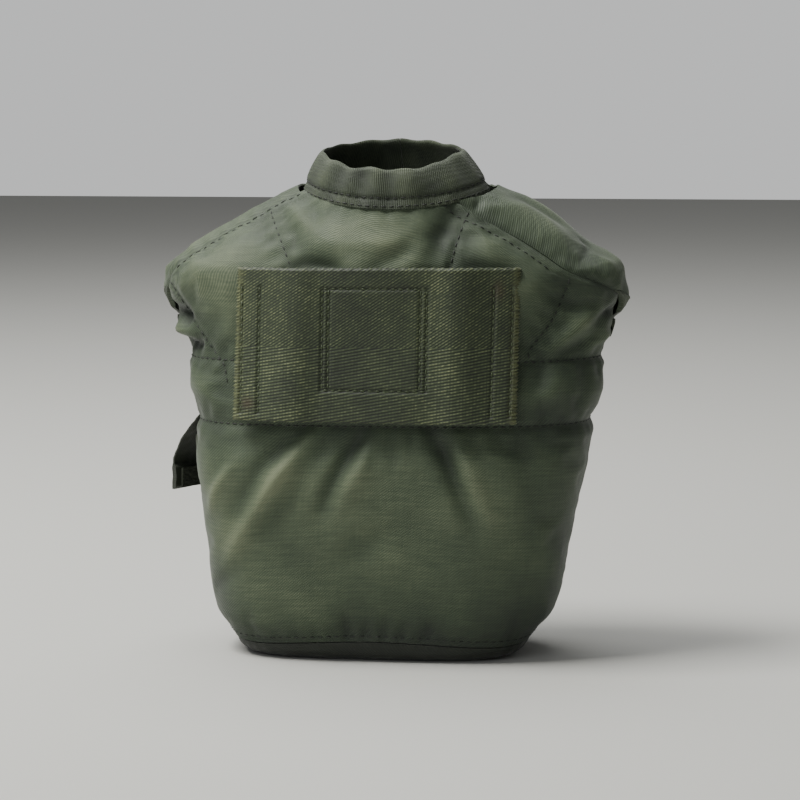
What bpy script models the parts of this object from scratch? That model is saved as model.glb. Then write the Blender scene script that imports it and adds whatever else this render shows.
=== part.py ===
"""Insulated cloth carrier for a one-quart belt canteen, as sewn panels, linings, tapes, webbing and hardware.

The carrier stands on its base. +Z is up, the belt side faces -Y, the snap side faces +Y, and the tablet
pocket is on the -X side. The origin is the middle of the base's underside.
"""

import math

import bmesh
import bpy
from mathutils import Matrix, Vector

mm = 0.001

# Body, seen from the belt side
BASE_WIDTH = 126 * mm
SHOULDER_WIDTH = 172 * mm
SHOULDER_HEIGHT = 137 * mm
CORNER_RADIUS = 12 * mm
NECK_WIDTH = 70 * mm
NECK_HEIGHT = 176 * mm
SEAM_HEIGHT = 7 * mm

# Body, seen from the side
BASE_DEPTH = 70 * mm
BELLY_DEPTH = 76 * mm
BELLY_HEIGHT = 70 * mm
SHOULDER_DEPTH = 68 * mm
NECK_DEPTH = 54 * mm
FRONT_SQUARENESS = 2.5
BACK_SQUARENESS = 3.2
SHOULDER_SQUARENESS = 2.0

# Layers of the wall
CLEARANCE = 0.3 * mm
CURVE_CLEARANCE = 0.5 * mm
CLOTH = 1.0 * mm
PILE = 4.0 * mm
BAND = 1.2 * mm
TAPE = 0.8 * mm
WEBBING = 2.0 * mm

# Front opening and shoulder flaps
FRONT_TOP = 124 * mm
BINDING_HEIGHT = 1.6 * mm
FLAP_BOTTOM = 110 * mm
FLAP_SIDE_BOTTOM = 129 * mm
FLAP_GAP = 3 * mm
FLAP_SIDE_START = 2 * mm
FLAP_LINING_SIDE = 2 * mm
SEAM_BACK = 10 * mm
TAPE_HEIGHT = 9 * mm
NECK_MARGIN = 1.0 * mm
FLAP_LINING_MARGIN = 8 * mm

# Collar
COLLAR_HEIGHT = 14 * mm
COLLAR_TOP_WIDTH = 59 * mm
COLLAR_TOP_DEPTH = 46 * mm
COLLAR_WALL = 1.8 * mm
COLLAR_SPLIT = 5 * mm

# Closing straps and snaps
STRAP_WIDTH = 25 * mm
STRAP_X = 32 * mm
STRAP_TOP = 156 * mm
TAB_TOP = 107 * mm
TAB_BOTTOM = 84 * mm
TAB_STANDOFF = 4.4 * mm
SNAP_HEIGHT = 94 * mm
CAP_RADIUS = 7.5 * mm
SOCKET_RADIUS = 6.5 * mm
STUD_RADIUS = 2.9 * mm
POST_RADIUS = 2.0 * mm
POST_FLANGE = 5.0 * mm
SNAP_PLAY = 0.8 * mm

# Belt webbing on the back and the band behind it
BELT_WEBBING_WIDTH = 106 * mm
BELT_WEBBING_BOTTOM = 90 * mm
BELT_WEBBING_HEIGHT = 57 * mm
CHANNEL_HEIGHT = 6.4 * mm
CHANNEL_RAMP = 7 * mm
BOX_STITCH_WIDTH = 38 * mm
END_STITCH_WIDTH = 10 * mm
BAND_BOTTOM = 90 * mm
BAND_HEIGHT = 22 * mm

# Tablet pocket
POCKET_ANGLE = 27
POCKET_SPREAD = 19
POCKET_BOTTOM = 32 * mm
POCKET_HEIGHT = 46 * mm
POCKET_DEPTH = 7.5 * mm
POCKET_FLAP_TOP = 89 * mm
POCKET_FLAP_LENGTH = 31 * mm
POCKET_FLAP_GAP = 7.5 * mm
POCKET_FLAP_REACH = POCKET_DEPTH + POCKET_FLAP_GAP
HEM_LENGTH = 9.5 * mm
HEM_THICKNESS = 2.6 * mm
HOOK_THICKNESS = 1.2 * mm

# Base
BASE_THICKNESS = 2.0 * mm
BASE_EDGE = 4.4 * mm
BASE_LINING = 3.0 * mm
SEAM_BINDING_HEIGHT = 8 * mm

# Facets of a half ring of the wall, and the rows up it: every layer has the same ones, so that their facets lie
# side by side
HALF_RING = 16

LINING_DEPTH = CLOTH + CLEARANCE + BAND + CLEARANCE
WALL = LINING_DEPTH + PILE
PANEL_BOTTOM = SEAM_HEIGHT + CLEARANCE

COLOURS = {
    "shell_cloth": ((0.135, 0.165, 0.105), 0.78, 0.0),
    "pile_lining": ((0.33, 0.34, 0.32), 0.95, 0.0),
    "nylon_webbing": ((0.13, 0.15, 0.075), 0.72, 0.0),
    "edge_tape": ((0.15, 0.175, 0.10), 0.75, 0.0),
    "black_brass": ((0.02, 0.02, 0.02), 0.35, 0.9),
    "hook_and_loop": ((0.10, 0.12, 0.06), 0.9, 0.0),
}


# ---- shape of the body ------------------------------------------------------------------------

def ease(low, high, value):
    """0 below low, 1 above high, and a smooth rise between them."""
    share = min(1.0, max(0.0, (value - low) / (high - low)))
    return share * share * (3 - 2 * share)


def mix(a, b, share):
    return a + (b - a) * share


def touch_point(outside, centre, radius, turn):
    """Where the line from a point outside a circle touches the circle."""
    reach = outside - centre
    angle = math.atan2(reach.y, reach.x) + turn * math.acos(radius / reach.length)
    return centre + Vector((math.cos(angle), math.sin(angle))) * radius


CORNER = Vector((SHOULDER_WIDTH / 2 - CORNER_RADIUS, SHOULDER_HEIGHT))
BASE_POINT = Vector((BASE_WIDTH / 2, SEAM_HEIGHT))
NECK_POINT = Vector((NECK_WIDTH / 2, NECK_HEIGHT))
WALL_TOUCH = touch_point(BASE_POINT, CORNER, CORNER_RADIUS, 1)
SLOPE_TOUCH = touch_point(NECK_POINT, CORNER, CORNER_RADIUS, -1)


def half_width(z):
    """The outline seen from the back: a leaning side, a round shoulder corner and a straight slope to the neck."""
    if z < WALL_TOUCH.y:
        return mix(BASE_POINT.x, WALL_TOUCH.x, (z - BASE_POINT.y) / (WALL_TOUCH.y - BASE_POINT.y))
    if z < SLOPE_TOUCH.y:
        return CORNER.x + math.sqrt(max(0.0, CORNER_RADIUS**2 - (z - CORNER.y) ** 2))
    return mix(SLOPE_TOUCH.x, NECK_POINT.x, (z - SLOPE_TOUCH.y) / (NECK_POINT.y - SLOPE_TOUCH.y))


def half_depth(z):
    """The outline seen from the side: it swells to the belly, then narrows to the neck."""
    belly = mix(BASE_DEPTH, BELLY_DEPTH, ease(SEAM_HEIGHT, BELLY_HEIGHT, z))
    shoulder = mix(belly, SHOULDER_DEPTH, ease(BELLY_HEIGHT, SHOULDER_HEIGHT, z))
    return mix(shoulder, NECK_DEPTH, ease(SHOULDER_HEIGHT, NECK_HEIGHT, z)) / 2


def squareness(z, front):
    """How boxy the cross-section is: 2 is an ellipse, and more is squarer."""
    body = FRONT_SQUARENESS if front else BACK_SQUARENESS
    return mix(body, SHOULDER_SQUARENESS, ease(BELLY_HEIGHT, SHOULDER_HEIGHT, z))


def angle_at_depth(y, z):
    """The ring angle, in radians, at which the wall is y in front of the side seam, or behind it if y is negative."""
    n = squareness(z, y > 0)
    share = min(1.0, abs(y) / half_depth(z))
    return math.copysign(math.asin(share ** (n / 2)), y)


def angle_at_width(x, z, front=True):
    """The ring angle at which the wall is x to the side of the middle, on the front or the back."""
    n = squareness(z, front)
    angle = math.acos(min(1.0, x / half_width(z)) ** (n / 2))
    return angle if front else -angle


def body_point(angle, z, depth=0.0, side=1):
    """A point of the wall. Angle 0 is the side seam at +X, 90 degrees the middle of the front, and -90 the
    middle of the back. depth is measured inwards along the normal, and side -1 mirrors it."""
    width, thick = half_width(z), half_depth(z)
    cosine, sine = math.cos(angle), math.sin(angle)
    n = squareness(z, sine > 0)
    across = math.copysign(abs(cosine) ** (2 / n), cosine)
    forward = math.copysign(abs(sine) ** (2 / n), sine)
    step = 0.1 * mm
    widening = (half_width(z + step) - half_width(z - step)) / (2 * step)
    thickening = (half_depth(z + step) - half_depth(z - step)) / (2 * step)
    normal = Vector((
        math.copysign(abs(across) ** (n - 1), across) / width,
        math.copysign(abs(forward) ** (n - 1), forward) / thick,
        -(abs(across) ** n * widening / width + abs(forward) ** n * thickening / thick),
    )).normalized()
    point = Vector((across * width, forward * thick, z)) - normal * depth
    point.x *= side
    return point


def wall_at(x, z, depth=0.0, front=True):
    """The point of the wall straight in front of, or behind, a place in the XZ plane."""
    side = -1 if x < 0 else 1
    return body_point(angle_at_width(abs(x), z, front), z, depth, side)


def spread(low, high, count):
    return [mix(low, high, k / count) for k in range(count)]


ROW_HEIGHTS = spread(SEAM_HEIGHT, BELLY_HEIGHT, 3) + spread(BELLY_HEIGHT, FRONT_TOP, 6)
ROW_HEIGHTS += spread(FRONT_TOP, SLOPE_TOUCH.y, 6) + spread(SLOPE_TOUCH.y, NECK_HEIGHT, 3)


def rows(low, high):
    """Where the rows of a layer from low to high lie, as shares of its height."""
    inner = [z for z in ROW_HEIGHTS if low + 1 * mm < z < high - 1 * mm]
    return [(z - low) / (high - low) for z in [low, *inner, high]]


# ---- making solids ----------------------------------------------------------------------------

def clear_scene():
    for old in list(bpy.data.objects):
        bpy.data.objects.remove(old)


def material(slot):
    found = bpy.data.materials.get(slot)
    if found:
        return found
    colour, roughness, metallic = COLOURS[slot]
    made = bpy.data.materials.new(slot)
    made.use_nodes = True
    shader = made.node_tree.nodes["Principled BSDF"]
    shader.inputs["Base Color"].default_value = (*colour, 1.0)
    shader.inputs["Roughness"].default_value = roughness
    shader.inputs["Metallic"].default_value = metallic
    return made


def finish(name, bm, slot, smooth_angle=50):
    bmesh.ops.recalc_face_normals(bm, faces=bm.faces)
    mesh = bpy.data.meshes.new(name)
    bm.to_mesh(mesh)
    bm.free()
    mesh.shade_smooth()
    mesh.set_sharp_from_angle(angle=math.radians(smooth_angle))
    mesh.materials.append(material(slot))
    made = bpy.data.objects.new(name, mesh)
    bpy.context.scene.collection.objects.link(made)
    return made


def sheet(name, slot, surface, thickness, across, along):
    """A closed sheet of cloth. surface(u, v, depth) gives its points for u and v from 0 to 1, and thickness is
    a number or a function of u and v. across and along count its cells, or list where their edges lie."""
    columns = [i / across for i in range(across + 1)] if isinstance(across, int) else across
    levels = [j / along for j in range(along + 1)] if isinstance(along, int) else along
    bm = bmesh.new()
    skins = []
    for inner in (False, True):
        grid = []
        for v in levels:
            row = []
            for u in columns:
                depth = (thickness(u, v) if callable(thickness) else thickness) if inner else 0.0
                row.append(bm.verts.new(surface(u, v, depth)))
            grid.append(row)
        skins.append(grid)
    last_row, last_column = len(levels) - 1, len(columns) - 1
    for grid in skins:
        for j in range(last_row):
            for i in range(last_column):
                bm.faces.new((grid[j][i], grid[j][i + 1], grid[j + 1][i + 1], grid[j + 1][i]))
    rim = [(0, i) for i in range(last_column)]
    rim += [(j, last_column) for j in range(last_row)]
    rim += [(last_row, last_column - i) for i in range(last_column)]
    rim += [(last_row - j, 0) for j in range(last_row)]
    outer, inner = skins
    for (j, i), (next_j, next_i) in zip(rim, rim[1:] + rim[:1]):
        bm.faces.new((outer[j][i], outer[next_j][next_i], inner[next_j][next_i], inner[j][i]))
    return finish(name, bm, slot)


def ringed(name, slot, rings, ends):
    """A solid from a run of rings, each a function of the turn from 0 to 1. With ends it is closed by flat faces,
    and without them the last ring joins the first."""
    bm = bmesh.new()
    segments = 2 * HALF_RING
    loops = [[bm.verts.new(ring(k / segments)) for k in range(segments)] for ring in rings]
    pairs = list(zip(loops, loops[1:])) if ends else list(zip(loops, loops[1:] + loops[:1]))
    for first, second in pairs:
        for k in range(segments):
            after = (k + 1) % segments
            bm.faces.new((first[k], first[after], second[after], second[k]))
    if ends:
        bm.faces.new(loops[0])
        bm.faces.new(loops[-1])
    return finish(name, bm, slot)


def turned(name, slot, outline, segments=16):
    """A round piece about its local Z axis, from a closed outline of (radius, height) points. A radius of 0 is a
    point on the axis."""
    bm = bmesh.new()
    rings = []
    for radius, height in outline:
        if radius == 0:
            rings.append([bm.verts.new((0, 0, height))])
            continue
        turn = 2 * math.pi / segments
        rings.append([
            bm.verts.new((radius * math.cos(k * turn), radius * math.sin(k * turn), height))
            for k in range(segments)
        ])
    on_axis = any(len(ring) == 1 for ring in rings)
    pairs = list(zip(rings, rings[1:])) if on_axis else list(zip(rings, rings[1:] + rings[:1]))
    for first, second in pairs:
        for k in range(segments):
            after = (k + 1) % segments
            corners = [first[k % len(first)], first[after % len(first)]]
            corners += [second[after % len(second)], second[k % len(second)]]
            bm.faces.new(list(dict.fromkeys(corners)))
    return finish(name, bm, slot, smooth_angle=35)


def hinge_empty(name, place, axis):
    """An empty on a joint's axis, its local X along the axis, which carries the pieces that turn together."""
    made = bpy.data.objects.new(name, None)
    made.matrix_world = Matrix.Translation(place) @ axis.to_track_quat("X", "Z").to_matrix().to_4x4()
    bpy.context.scene.collection.objects.link(made)
    return made


def carry(parent, *pieces):
    bpy.context.view_layer.update()
    for piece in pieces:
        piece.parent = parent
        piece.matrix_parent_inverse = parent.matrix_world.inverted()


# ---- panels of the body -----------------------------------------------------------------------

def back_edge(z):
    """How far behind the side seam the back panel's edge lies: none low down, and SEAM_BACK on the slope."""
    return SEAM_BACK * ease(FRONT_TOP, SLOPE_TOUCH.y, z)


def back_surface(depth_outside, reach=1.0, low=None, high=None):
    """The back wall between its two edges, from height low to high, or a share of its width."""
    low = PANEL_BOTTOM if low is None else low
    high = NECK_HEIGHT if high is None else high

    def surface(u, v, depth):
        z = mix(low, high, v)
        edge = angle_at_depth(-back_edge(z) - CLEARANCE, z)
        start = mix(-math.pi / 2, edge, reach)
        angle = mix(-math.pi - start, start, u)
        return body_point(angle, z, depth_outside + depth)

    return surface


def front_surface(depth_outside, low, high):
    def surface(u, v, depth):
        z = mix(low, high, v)
        edge = angle_at_depth(CLEARANCE, z)
        return body_point(mix(edge, math.pi - edge, u), z, depth_outside + depth)

    return surface


def make_panels():
    lining_low = PANEL_BOTTOM + BASE_LINING
    band_top = BAND_BOTTOM + BAND_HEIGHT
    back_top = NECK_HEIGHT - CLOTH
    sheet("back_panel", "shell_cloth", back_surface(0), CLOTH, HALF_RING, rows(PANEL_BOTTOM, NECK_HEIGHT))
    sheet("back_lining", "pile_lining", back_surface(LINING_DEPTH, low=lining_low, high=back_top), PILE,
          HALF_RING, rows(lining_low, back_top))
    reach = 1 - 2 / HALF_RING
    sheet("back_band", "nylon_webbing", back_surface(CLOTH + CLEARANCE, reach, BAND_BOTTOM, band_top), BAND,
          HALF_RING - 2, rows(BAND_BOTTOM, band_top))
    sheet("front_panel", "shell_cloth", front_surface(0, PANEL_BOTTOM, FRONT_TOP), CLOTH,
          HALF_RING, rows(PANEL_BOTTOM, FRONT_TOP))
    front_top = FRONT_TOP - CLEARANCE
    sheet("front_lining", "pile_lining", front_surface(LINING_DEPTH, lining_low, front_top), PILE,
          HALF_RING, rows(lining_low, front_top))
    binding_low = FRONT_TOP + CLEARANCE
    sheet("front_edge_binding", "edge_tape",
          front_surface(0, binding_low, binding_low + BINDING_HEIGHT), WALL, HALF_RING, 1)


def wall_ring(z, inset, height):
    """The body's outline at height z, drawn in by inset, and set at another height."""
    def ring(turn):
        point = body_point(turn * 2 * math.pi, z, inset)
        return Vector((point.x, point.y, height))

    return ring


def make_base():
    """The base panel is flat underneath and turns up at its edge to meet the base seam."""
    edge = SEAM_HEIGHT
    ringed("base_panel", "shell_cloth", [
        wall_ring(edge, BASE_EDGE, BASE_THICKNESS),
        wall_ring(edge, CLOTH * 1.6, BASE_THICKNESS + CLOTH),
        wall_ring(edge, CLOTH, edge),
        wall_ring(edge, 0, edge),
        wall_ring(edge, CLOTH * 0.6, edge * 0.5),
        wall_ring(edge, CLOTH * 2.2, edge * 0.2),
        wall_ring(edge, BASE_EDGE + CLOTH, 0),
    ], ends=True)
    lining_edge = BASE_EDGE + CURVE_CLEARANCE
    low = BASE_THICKNESS + CLEARANCE
    ringed("base_lining", "pile_lining", [
        wall_ring(edge, lining_edge, low),
        wall_ring(edge, lining_edge, low + BASE_LINING),
    ], ends=True)

    def binding_ring(inset, share):
        def ring(turn):
            z = PANEL_BOTTOM + SEAM_BINDING_HEIGHT * share
            return body_point(turn * 2 * math.pi, z, CLOTH + CLEARANCE + inset)

        return ring

    ringed("base_seam_binding", "edge_tape", [
        binding_ring(0, 0),
        binding_ring(0, 1),
        binding_ring(TAPE, 1),
        binding_ring(TAPE, 0),
    ], ends=False)


# ---- shoulder flaps ---------------------------------------------------------------------------

def flap_low(u, lift=0.0):
    """The flap's lower edge: high at the side, low at the front."""
    return mix(FLAP_SIDE_BOTTOM, FLAP_BOTTOM, ease(0.0, 0.45, u)) + lift


def flap_start(z):
    """Where the flap begins: at the shoulder seam behind the ridge on the slope, and in front of the side seam
    lower down."""
    forward = ease(FRONT_TOP, SLOPE_TOUCH.y, z)
    return mix(FLAP_SIDE_START, -SEAM_BACK + CLEARANCE, forward)


def flap_surface(side, standoff, low, high, side_margin=0.0):
    """The flap from the shoulder seam, at u = 0, over the ridge to the middle of the front."""
    def surface(u, v, depth):
        z = mix(low(u), high, v)
        start = angle_at_depth(flap_start(z) + side_margin, z)
        end = angle_at_width(FLAP_GAP / 2, z)
        return body_point(mix(start, end, u), z, depth - standoff, side)

    return surface


def hinge_line(side):
    """The shoulder seam as a point and a unit direction that opens the flap with a positive turn."""
    ends = []
    for z in (SLOPE_TOUCH.y, NECK_HEIGHT):
        ends.append(body_point(angle_at_depth(-SEAM_BACK, z), z, 0.0, side))
    direction = (ends[1] - ends[0]).normalized()
    if side > 0:
        direction.negate()
    return ends[1], direction


def make_flap(side, name):
    low = flap_low
    neck_top = NECK_HEIGHT - NECK_MARGIN
    skin = CURVE_CLEARANCE + CLOTH
    cloth = sheet("flap_" + name, "shell_cloth", flap_surface(side, skin, low, neck_top), CLOTH, 12, 15)

    lining_bottom = FRONT_TOP + 2 * CLEARANCE + BINDING_HEIGHT + CLEARANCE

    def lining_low(u):
        return lining_bottom + (FLAP_SIDE_BOTTOM - FRONT_TOP) * (1 - ease(0.0, 0.3, u))

    lining = sheet("flap_lining_" + name, "pile_lining",
                   flap_surface(side, -CLEARANCE, lining_low, NECK_HEIGHT - FLAP_LINING_MARGIN, FLAP_LINING_SIDE),
                   PILE, 12, 9)

    def tape_top(u):
        return low(u) + TAPE_HEIGHT

    def binding(u, v, depth):
        z = mix(low(u), tape_top(u), v)
        start = angle_at_depth(flap_start(z), z)
        end = angle_at_width(FLAP_GAP / 2, z)
        return body_point(mix(start, end, u), z, depth - skin - CURVE_CLEARANCE - TAPE, side)

    tape = sheet("flap_binding_" + name, "edge_tape", binding, TAPE, 12, 3)
    return [cloth, lining, tape]


def collar_point(angle, height, depth, side=1):
    """The collar leans inwards from the neck. height is a share from 0 to 1."""
    width = mix(NECK_WIDTH, COLLAR_TOP_WIDTH, height) / 2 - depth
    thick = mix(NECK_DEPTH, COLLAR_TOP_DEPTH, height) / 2 - depth
    z = NECK_HEIGHT + CURVE_CLEARANCE + COLLAR_HEIGHT * height
    return Vector((side * width * math.cos(angle), thick * math.sin(angle), z))


def collar_angle(y, height):
    thick = mix(NECK_DEPTH, COLLAR_TOP_DEPTH, height) / 2
    return math.asin(y / thick)


def make_collar_back():
    def surface(u, v, depth):
        split = collar_angle(COLLAR_SPLIT, v)
        return collar_point(mix(-math.pi - split, split, u), v, depth)

    return sheet("collar_back", "edge_tape", surface, COLLAR_WALL, 24, 2)


def make_collar_front(side, name):
    def surface(u, v, depth):
        start = collar_angle(COLLAR_SPLIT + 2 * mm, v)
        end = math.pi / 2 - (FLAP_GAP / 2) / (NECK_WIDTH / 2)
        return collar_point(mix(start, end, u), v, depth, side)

    return sheet("collar_front_" + name, "edge_tape", surface, COLLAR_WALL, 8, 2)


# ---- closing straps and snaps -----------------------------------------------------------------

STRAP_STANDOFF = 2 * CURVE_CLEARANCE + CLOTH + TAPE + CLEARANCE + WEBBING


def strap_point(side, u, z, standoff):
    x = STRAP_X + (u - 0.5) * STRAP_WIDTH
    point = wall_at(x, z, -standoff)
    point.x *= side
    return point


def make_strap(side, name):
    """The webbing sewn down the flap, and its free end, which lifts to undo the snap."""
    def sewn(u, v, depth):
        z = mix(TAB_TOP + CLEARANCE, STRAP_TOP, v)
        return strap_point(side, u, z, STRAP_STANDOFF - depth)

    def free(u, v, depth):
        z = mix(TAB_BOTTOM, TAB_TOP - CLEARANCE, v)
        standoff = mix(TAB_STANDOFF + WEBBING, STRAP_STANDOFF, ease(0.55, 1.0, v))
        return strap_point(side, u, z, standoff - depth)

    strap = sheet("strap_" + name, "nylon_webbing", sewn, WEBBING, 4, 8)
    tab = sheet("snap_tab_" + name, "nylon_webbing", free, WEBBING, 4, 5)
    return strap, tab


def tab_hinge(side):
    """Where the free end of the strap folds: a level line across the strap's outer face at TAB_TOP, so that the
    free end turns clear of the sewn part."""
    place = strap_point(side, 0.5, TAB_TOP, STRAP_STANDOFF + CLEARANCE)
    ends = [strap_point(side, u, TAB_TOP, STRAP_STANDOFF) for u in (0.0, 1.0)]
    direction = (ends[1] - ends[0]).normalized()
    if direction.x < 0:
        direction.negate()
    return place, direction


def snap_frame(side):
    """A matrix whose origin is on the front panel at the snap, with its Z axis pointing out of the body."""
    foot = strap_point(side, 0.5, SNAP_HEIGHT, 0.0)
    outwards = (strap_point(side, 0.5, SNAP_HEIGHT, 1 * mm) - foot).normalized()
    return Matrix.Translation(foot) @ outwards.to_track_quat("Z", "Y").to_matrix().to_4x4()


def cut_round(piece, place, radius):
    """Cuts a round hole through a piece, along a matrix's Z axis, for a snap part."""
    bpy.ops.mesh.primitive_cylinder_add(vertices=16, radius=radius, depth=30 * mm)
    cutter = bpy.context.object
    cutter.name = piece.name + "_cutter"
    cutter.matrix_world = place
    cutter.hide_render = True
    cutter.display_type = "WIRE"
    cut = piece.modifiers.new("snap hole", "BOOLEAN")
    cut.operation = "DIFFERENCE"
    cut.object = cutter


def make_snap(side, name, tab):
    """The four pressed parts of one snap: cap and socket on the tab, stud and post on the front panel. Heights
    are measured out from the front panel."""
    place = snap_frame(side)
    tab_inside = TAB_STANDOFF
    tab_outside = TAB_STANDOFF + WEBBING
    head = 1.0 * mm
    cap_foot = tab_outside + CLEARANCE
    rivet = POST_RADIUS
    cap = turned("snap_cap_" + name, "black_brass", [
        (0, tab_inside - 0.2 * mm),
        (rivet, tab_inside - 0.2 * mm),
        (rivet, cap_foot),
        (CAP_RADIUS, cap_foot),
        (CAP_RADIUS, cap_foot + head * 0.5),
        (CAP_RADIUS * 0.8, cap_foot + head * 1.3),
        (CAP_RADIUS * 0.4, cap_foot + head * 1.8),
        (0, cap_foot + head * 2),
    ])
    throat = STUD_RADIUS + SNAP_PLAY
    socket_top = tab_inside - 2 * CLEARANCE
    socket_foot = socket_top - 1.8 * mm
    socket = turned("snap_socket_" + name, "black_brass", [
        (throat, socket_foot),
        (SOCKET_RADIUS, socket_foot),
        (SOCKET_RADIUS, socket_foot + 1.0 * mm),
        (SOCKET_RADIUS * 0.8, socket_top),
        (throat, socket_top),
    ])
    stud = turned("snap_stud_" + name, "black_brass", [
        (0, CLEARANCE),
        (SOCKET_RADIUS, CLEARANCE),
        (SOCKET_RADIUS, CLEARANCE + 0.8 * mm),
        (STUD_RADIUS, CLEARANCE + 1.2 * mm),
        (STUD_RADIUS, CLEARANCE + 2.4 * mm),
        (STUD_RADIUS * 0.6, CLEARANCE + 2.9 * mm),
        (0, CLEARANCE + 2.9 * mm),
    ])
    inside = -CLOTH - CURVE_CLEARANCE
    post = turned("snap_post_" + name, "black_brass", [
        (0, inside - 0.7 * mm),
        (POST_FLANGE, inside - 0.7 * mm),
        (POST_FLANGE, inside),
        (rivet, inside),
        (rivet, 0.0),
        (0, 0.0),
    ])
    for piece in (cap, socket, stud, post):
        piece.matrix_world = place
    room = rivet + CLEARANCE
    cut_round(tab, place, room)
    cut_round(bpy.data.objects["front_panel"], place, room)
    return [cap, socket]


def make_closures():
    for side, name in ((-1, "left"), (1, "right")):
        flap = make_flap(side, name)
        flap.append(make_collar_front(side, name))
        strap, tab = make_strap(side, name)
        flap.append(strap)
        snap = make_snap(side, name, tab)
        flap_hinge = hinge_empty("flap_hinge_" + name, *hinge_line(side))
        fold = hinge_empty("tab_hinge_" + name, *tab_hinge(side))
        carry(flap_hinge, *flap, fold)
        carry(fold, tab, *snap)


# ---- belt webbing -----------------------------------------------------------------------------

def channel_rise(x):
    """How far the belt webbing stands off: nothing where it is sewn down, and the channel height between the box
    stitch and the end stitches."""
    inner, outer = BOX_STITCH_WIDTH / 2, BELT_WEBBING_WIDTH / 2 - END_STITCH_WIDTH
    across = abs(x)
    rise = ease(inner, inner + CHANNEL_RAMP, across)
    return CHANNEL_HEIGHT * rise * (1 - ease(outer - CHANNEL_RAMP, outer, across))


def webbing_line(x, v):
    """A straight line up the webbing at x, which clears the curved back by CLEARANCE at every height."""
    low, high = BELT_WEBBING_BOTTOM, BELT_WEBBING_BOTTOM + BELT_WEBBING_HEIGHT
    foot, head = (wall_at(x, z, 0.0, front=False) for z in (low, high))
    swell = 0.0
    for k in range(1, 8):
        z = mix(low, high, k / 8)
        swell = max(swell, mix(foot.y, head.y, k / 8) - wall_at(x, z, 0.0, front=False).y)
    point = foot.lerp(head, v)
    point.y -= swell + CLEARANCE * 1.5
    return point


def make_belt_webbing():
    half = BELT_WEBBING_WIDTH / 2
    inner, outer = BOX_STITCH_WIDTH / 2, half - END_STITCH_WIDTH
    right = [inner * 0.5, inner]
    right += [inner + CHANNEL_RAMP * share for share in (0.33, 0.67, 1.0)]
    right += [outer - CHANNEL_RAMP * share for share in (1.0, 0.67, 0.33)]
    right += [outer, half]
    stations = [-x for x in reversed(right)] + right

    def surface(u, v, depth):
        x = stations[round(u * (len(stations) - 1))]
        point = webbing_line(x, v)
        point.y -= channel_rise(x) + WEBBING - depth
        return point

    return sheet("belt_webbing", "nylon_webbing", surface, WEBBING, len(stations) - 1, 1)


# ---- tablet pocket ----------------------------------------------------------------------------

def pocket_angle(u):
    return math.radians(POCKET_ANGLE + (u - 0.5) * 2 * POCKET_SPREAD)


def pocket_bulge(u, v):
    """The pocket is sewn flat at its sides and bottom, and its mouth stands open."""
    across = ease(0.0, 0.28, u) * (1 - ease(0.72, 1.0, u))
    return POCKET_DEPTH * across * ease(0.0, 0.3, v)


def make_pocket():
    """The pouch, its bound mouth and the loop tape on it."""
    skin = CLEARANCE + CLOTH
    top = POCKET_BOTTOM + POCKET_HEIGHT

    def pouch(u, v, depth):
        z = mix(POCKET_BOTTOM, top, v)
        return body_point(pocket_angle(u), z, depth - skin - pocket_bulge(u, v), -1)

    sheet("tablet_pocket", "shell_cloth", pouch, CLOTH, 12, 6)

    def mouth(u, v, depth):
        z = mix(top - TAPE_HEIGHT, top, v)
        out = skin + pocket_bulge(u, (z - POCKET_BOTTOM) / POCKET_HEIGHT) + CLEARANCE + TAPE
        return body_point(pocket_angle(u), z, depth - out, -1)

    sheet("pocket_binding", "edge_tape", mouth, TAPE, 12, 1)

    def loops(u, v, depth):
        z = mix(top - TAPE_HEIGHT * 2.8, top - TAPE_HEIGHT * 1.2, v)
        turn = mix(0.3, 0.7, u)
        out = skin + pocket_bulge(turn, (z - POCKET_BOTTOM) / POCKET_HEIGHT) + CLEARANCE + HOOK_THICKNESS
        return body_point(pocket_angle(turn), z, depth - out, -1)

    sheet("pocket_loop_tape", "hook_and_loop", loops, HOOK_THICKNESS, 4, 1)


def pocket_flap_root(u):
    """The seam that holds the pocket flap, along the body over the pocket."""
    return body_point(pocket_angle(mix(0.06, 0.94, u)), POCKET_FLAP_TOP, -CLEARANCE - CLOTH, -1)


def pocket_hinge():
    """The flap's fold, as the straight line that lies closest to its curved seam."""
    first, middle, last = (pocket_flap_root(u) for u in (0.0, 0.5, 1.0))
    return ((first + last) / 2 + middle) / 2, (last - first).normalized()


def make_pocket_flap():
    """A stiff flap that stands away from the body and ends in a doubled hem, with hook tape inside the hem."""
    place, axis = pocket_hinge()
    outwards = axis.cross(Vector((0, 0, 1))).normalized()
    if outwards.x > 0:
        outwards.negate()
    middle = pocket_flap_root(0.5)

    def hang(u, v):
        """A point of the flap's outer face: it bows out from the seam, and is straight across at the hem."""
        root = pocket_flap_root(u)
        bow = POCKET_FLAP_REACH * math.sin(min(1.0, v * 1.25) * math.pi / 2)
        flatten = (middle - root).dot(outwards) * ease(0.0, 0.6, v)
        return root + outwards * (bow + flatten) - Vector((0, 0, POCKET_FLAP_LENGTH * v))

    def surface(u, v, depth):
        return hang(u, v) - outwards * depth

    hem_start = 1 - HEM_LENGTH / POCKET_FLAP_LENGTH

    def thickness(u, v):
        return mix(CLOTH, HEM_THICKNESS, ease(hem_start - 0.04, hem_start + 0.04, v))

    flap = sheet("pocket_flap", "shell_cloth", surface, thickness, 8, 12)

    def hooks(u, v, depth):
        share = mix(hem_start + 0.06, 0.97, v)
        return hang(mix(0.25, 0.75, u), share) - outwards * (HEM_THICKNESS + CLEARANCE + depth)

    tape = sheet("pocket_hook_tape", "hook_and_loop", hooks, HOOK_THICKNESS, 4, 1)
    carry(hinge_empty("pocket_hinge", place, axis), flap, tape)


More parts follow.
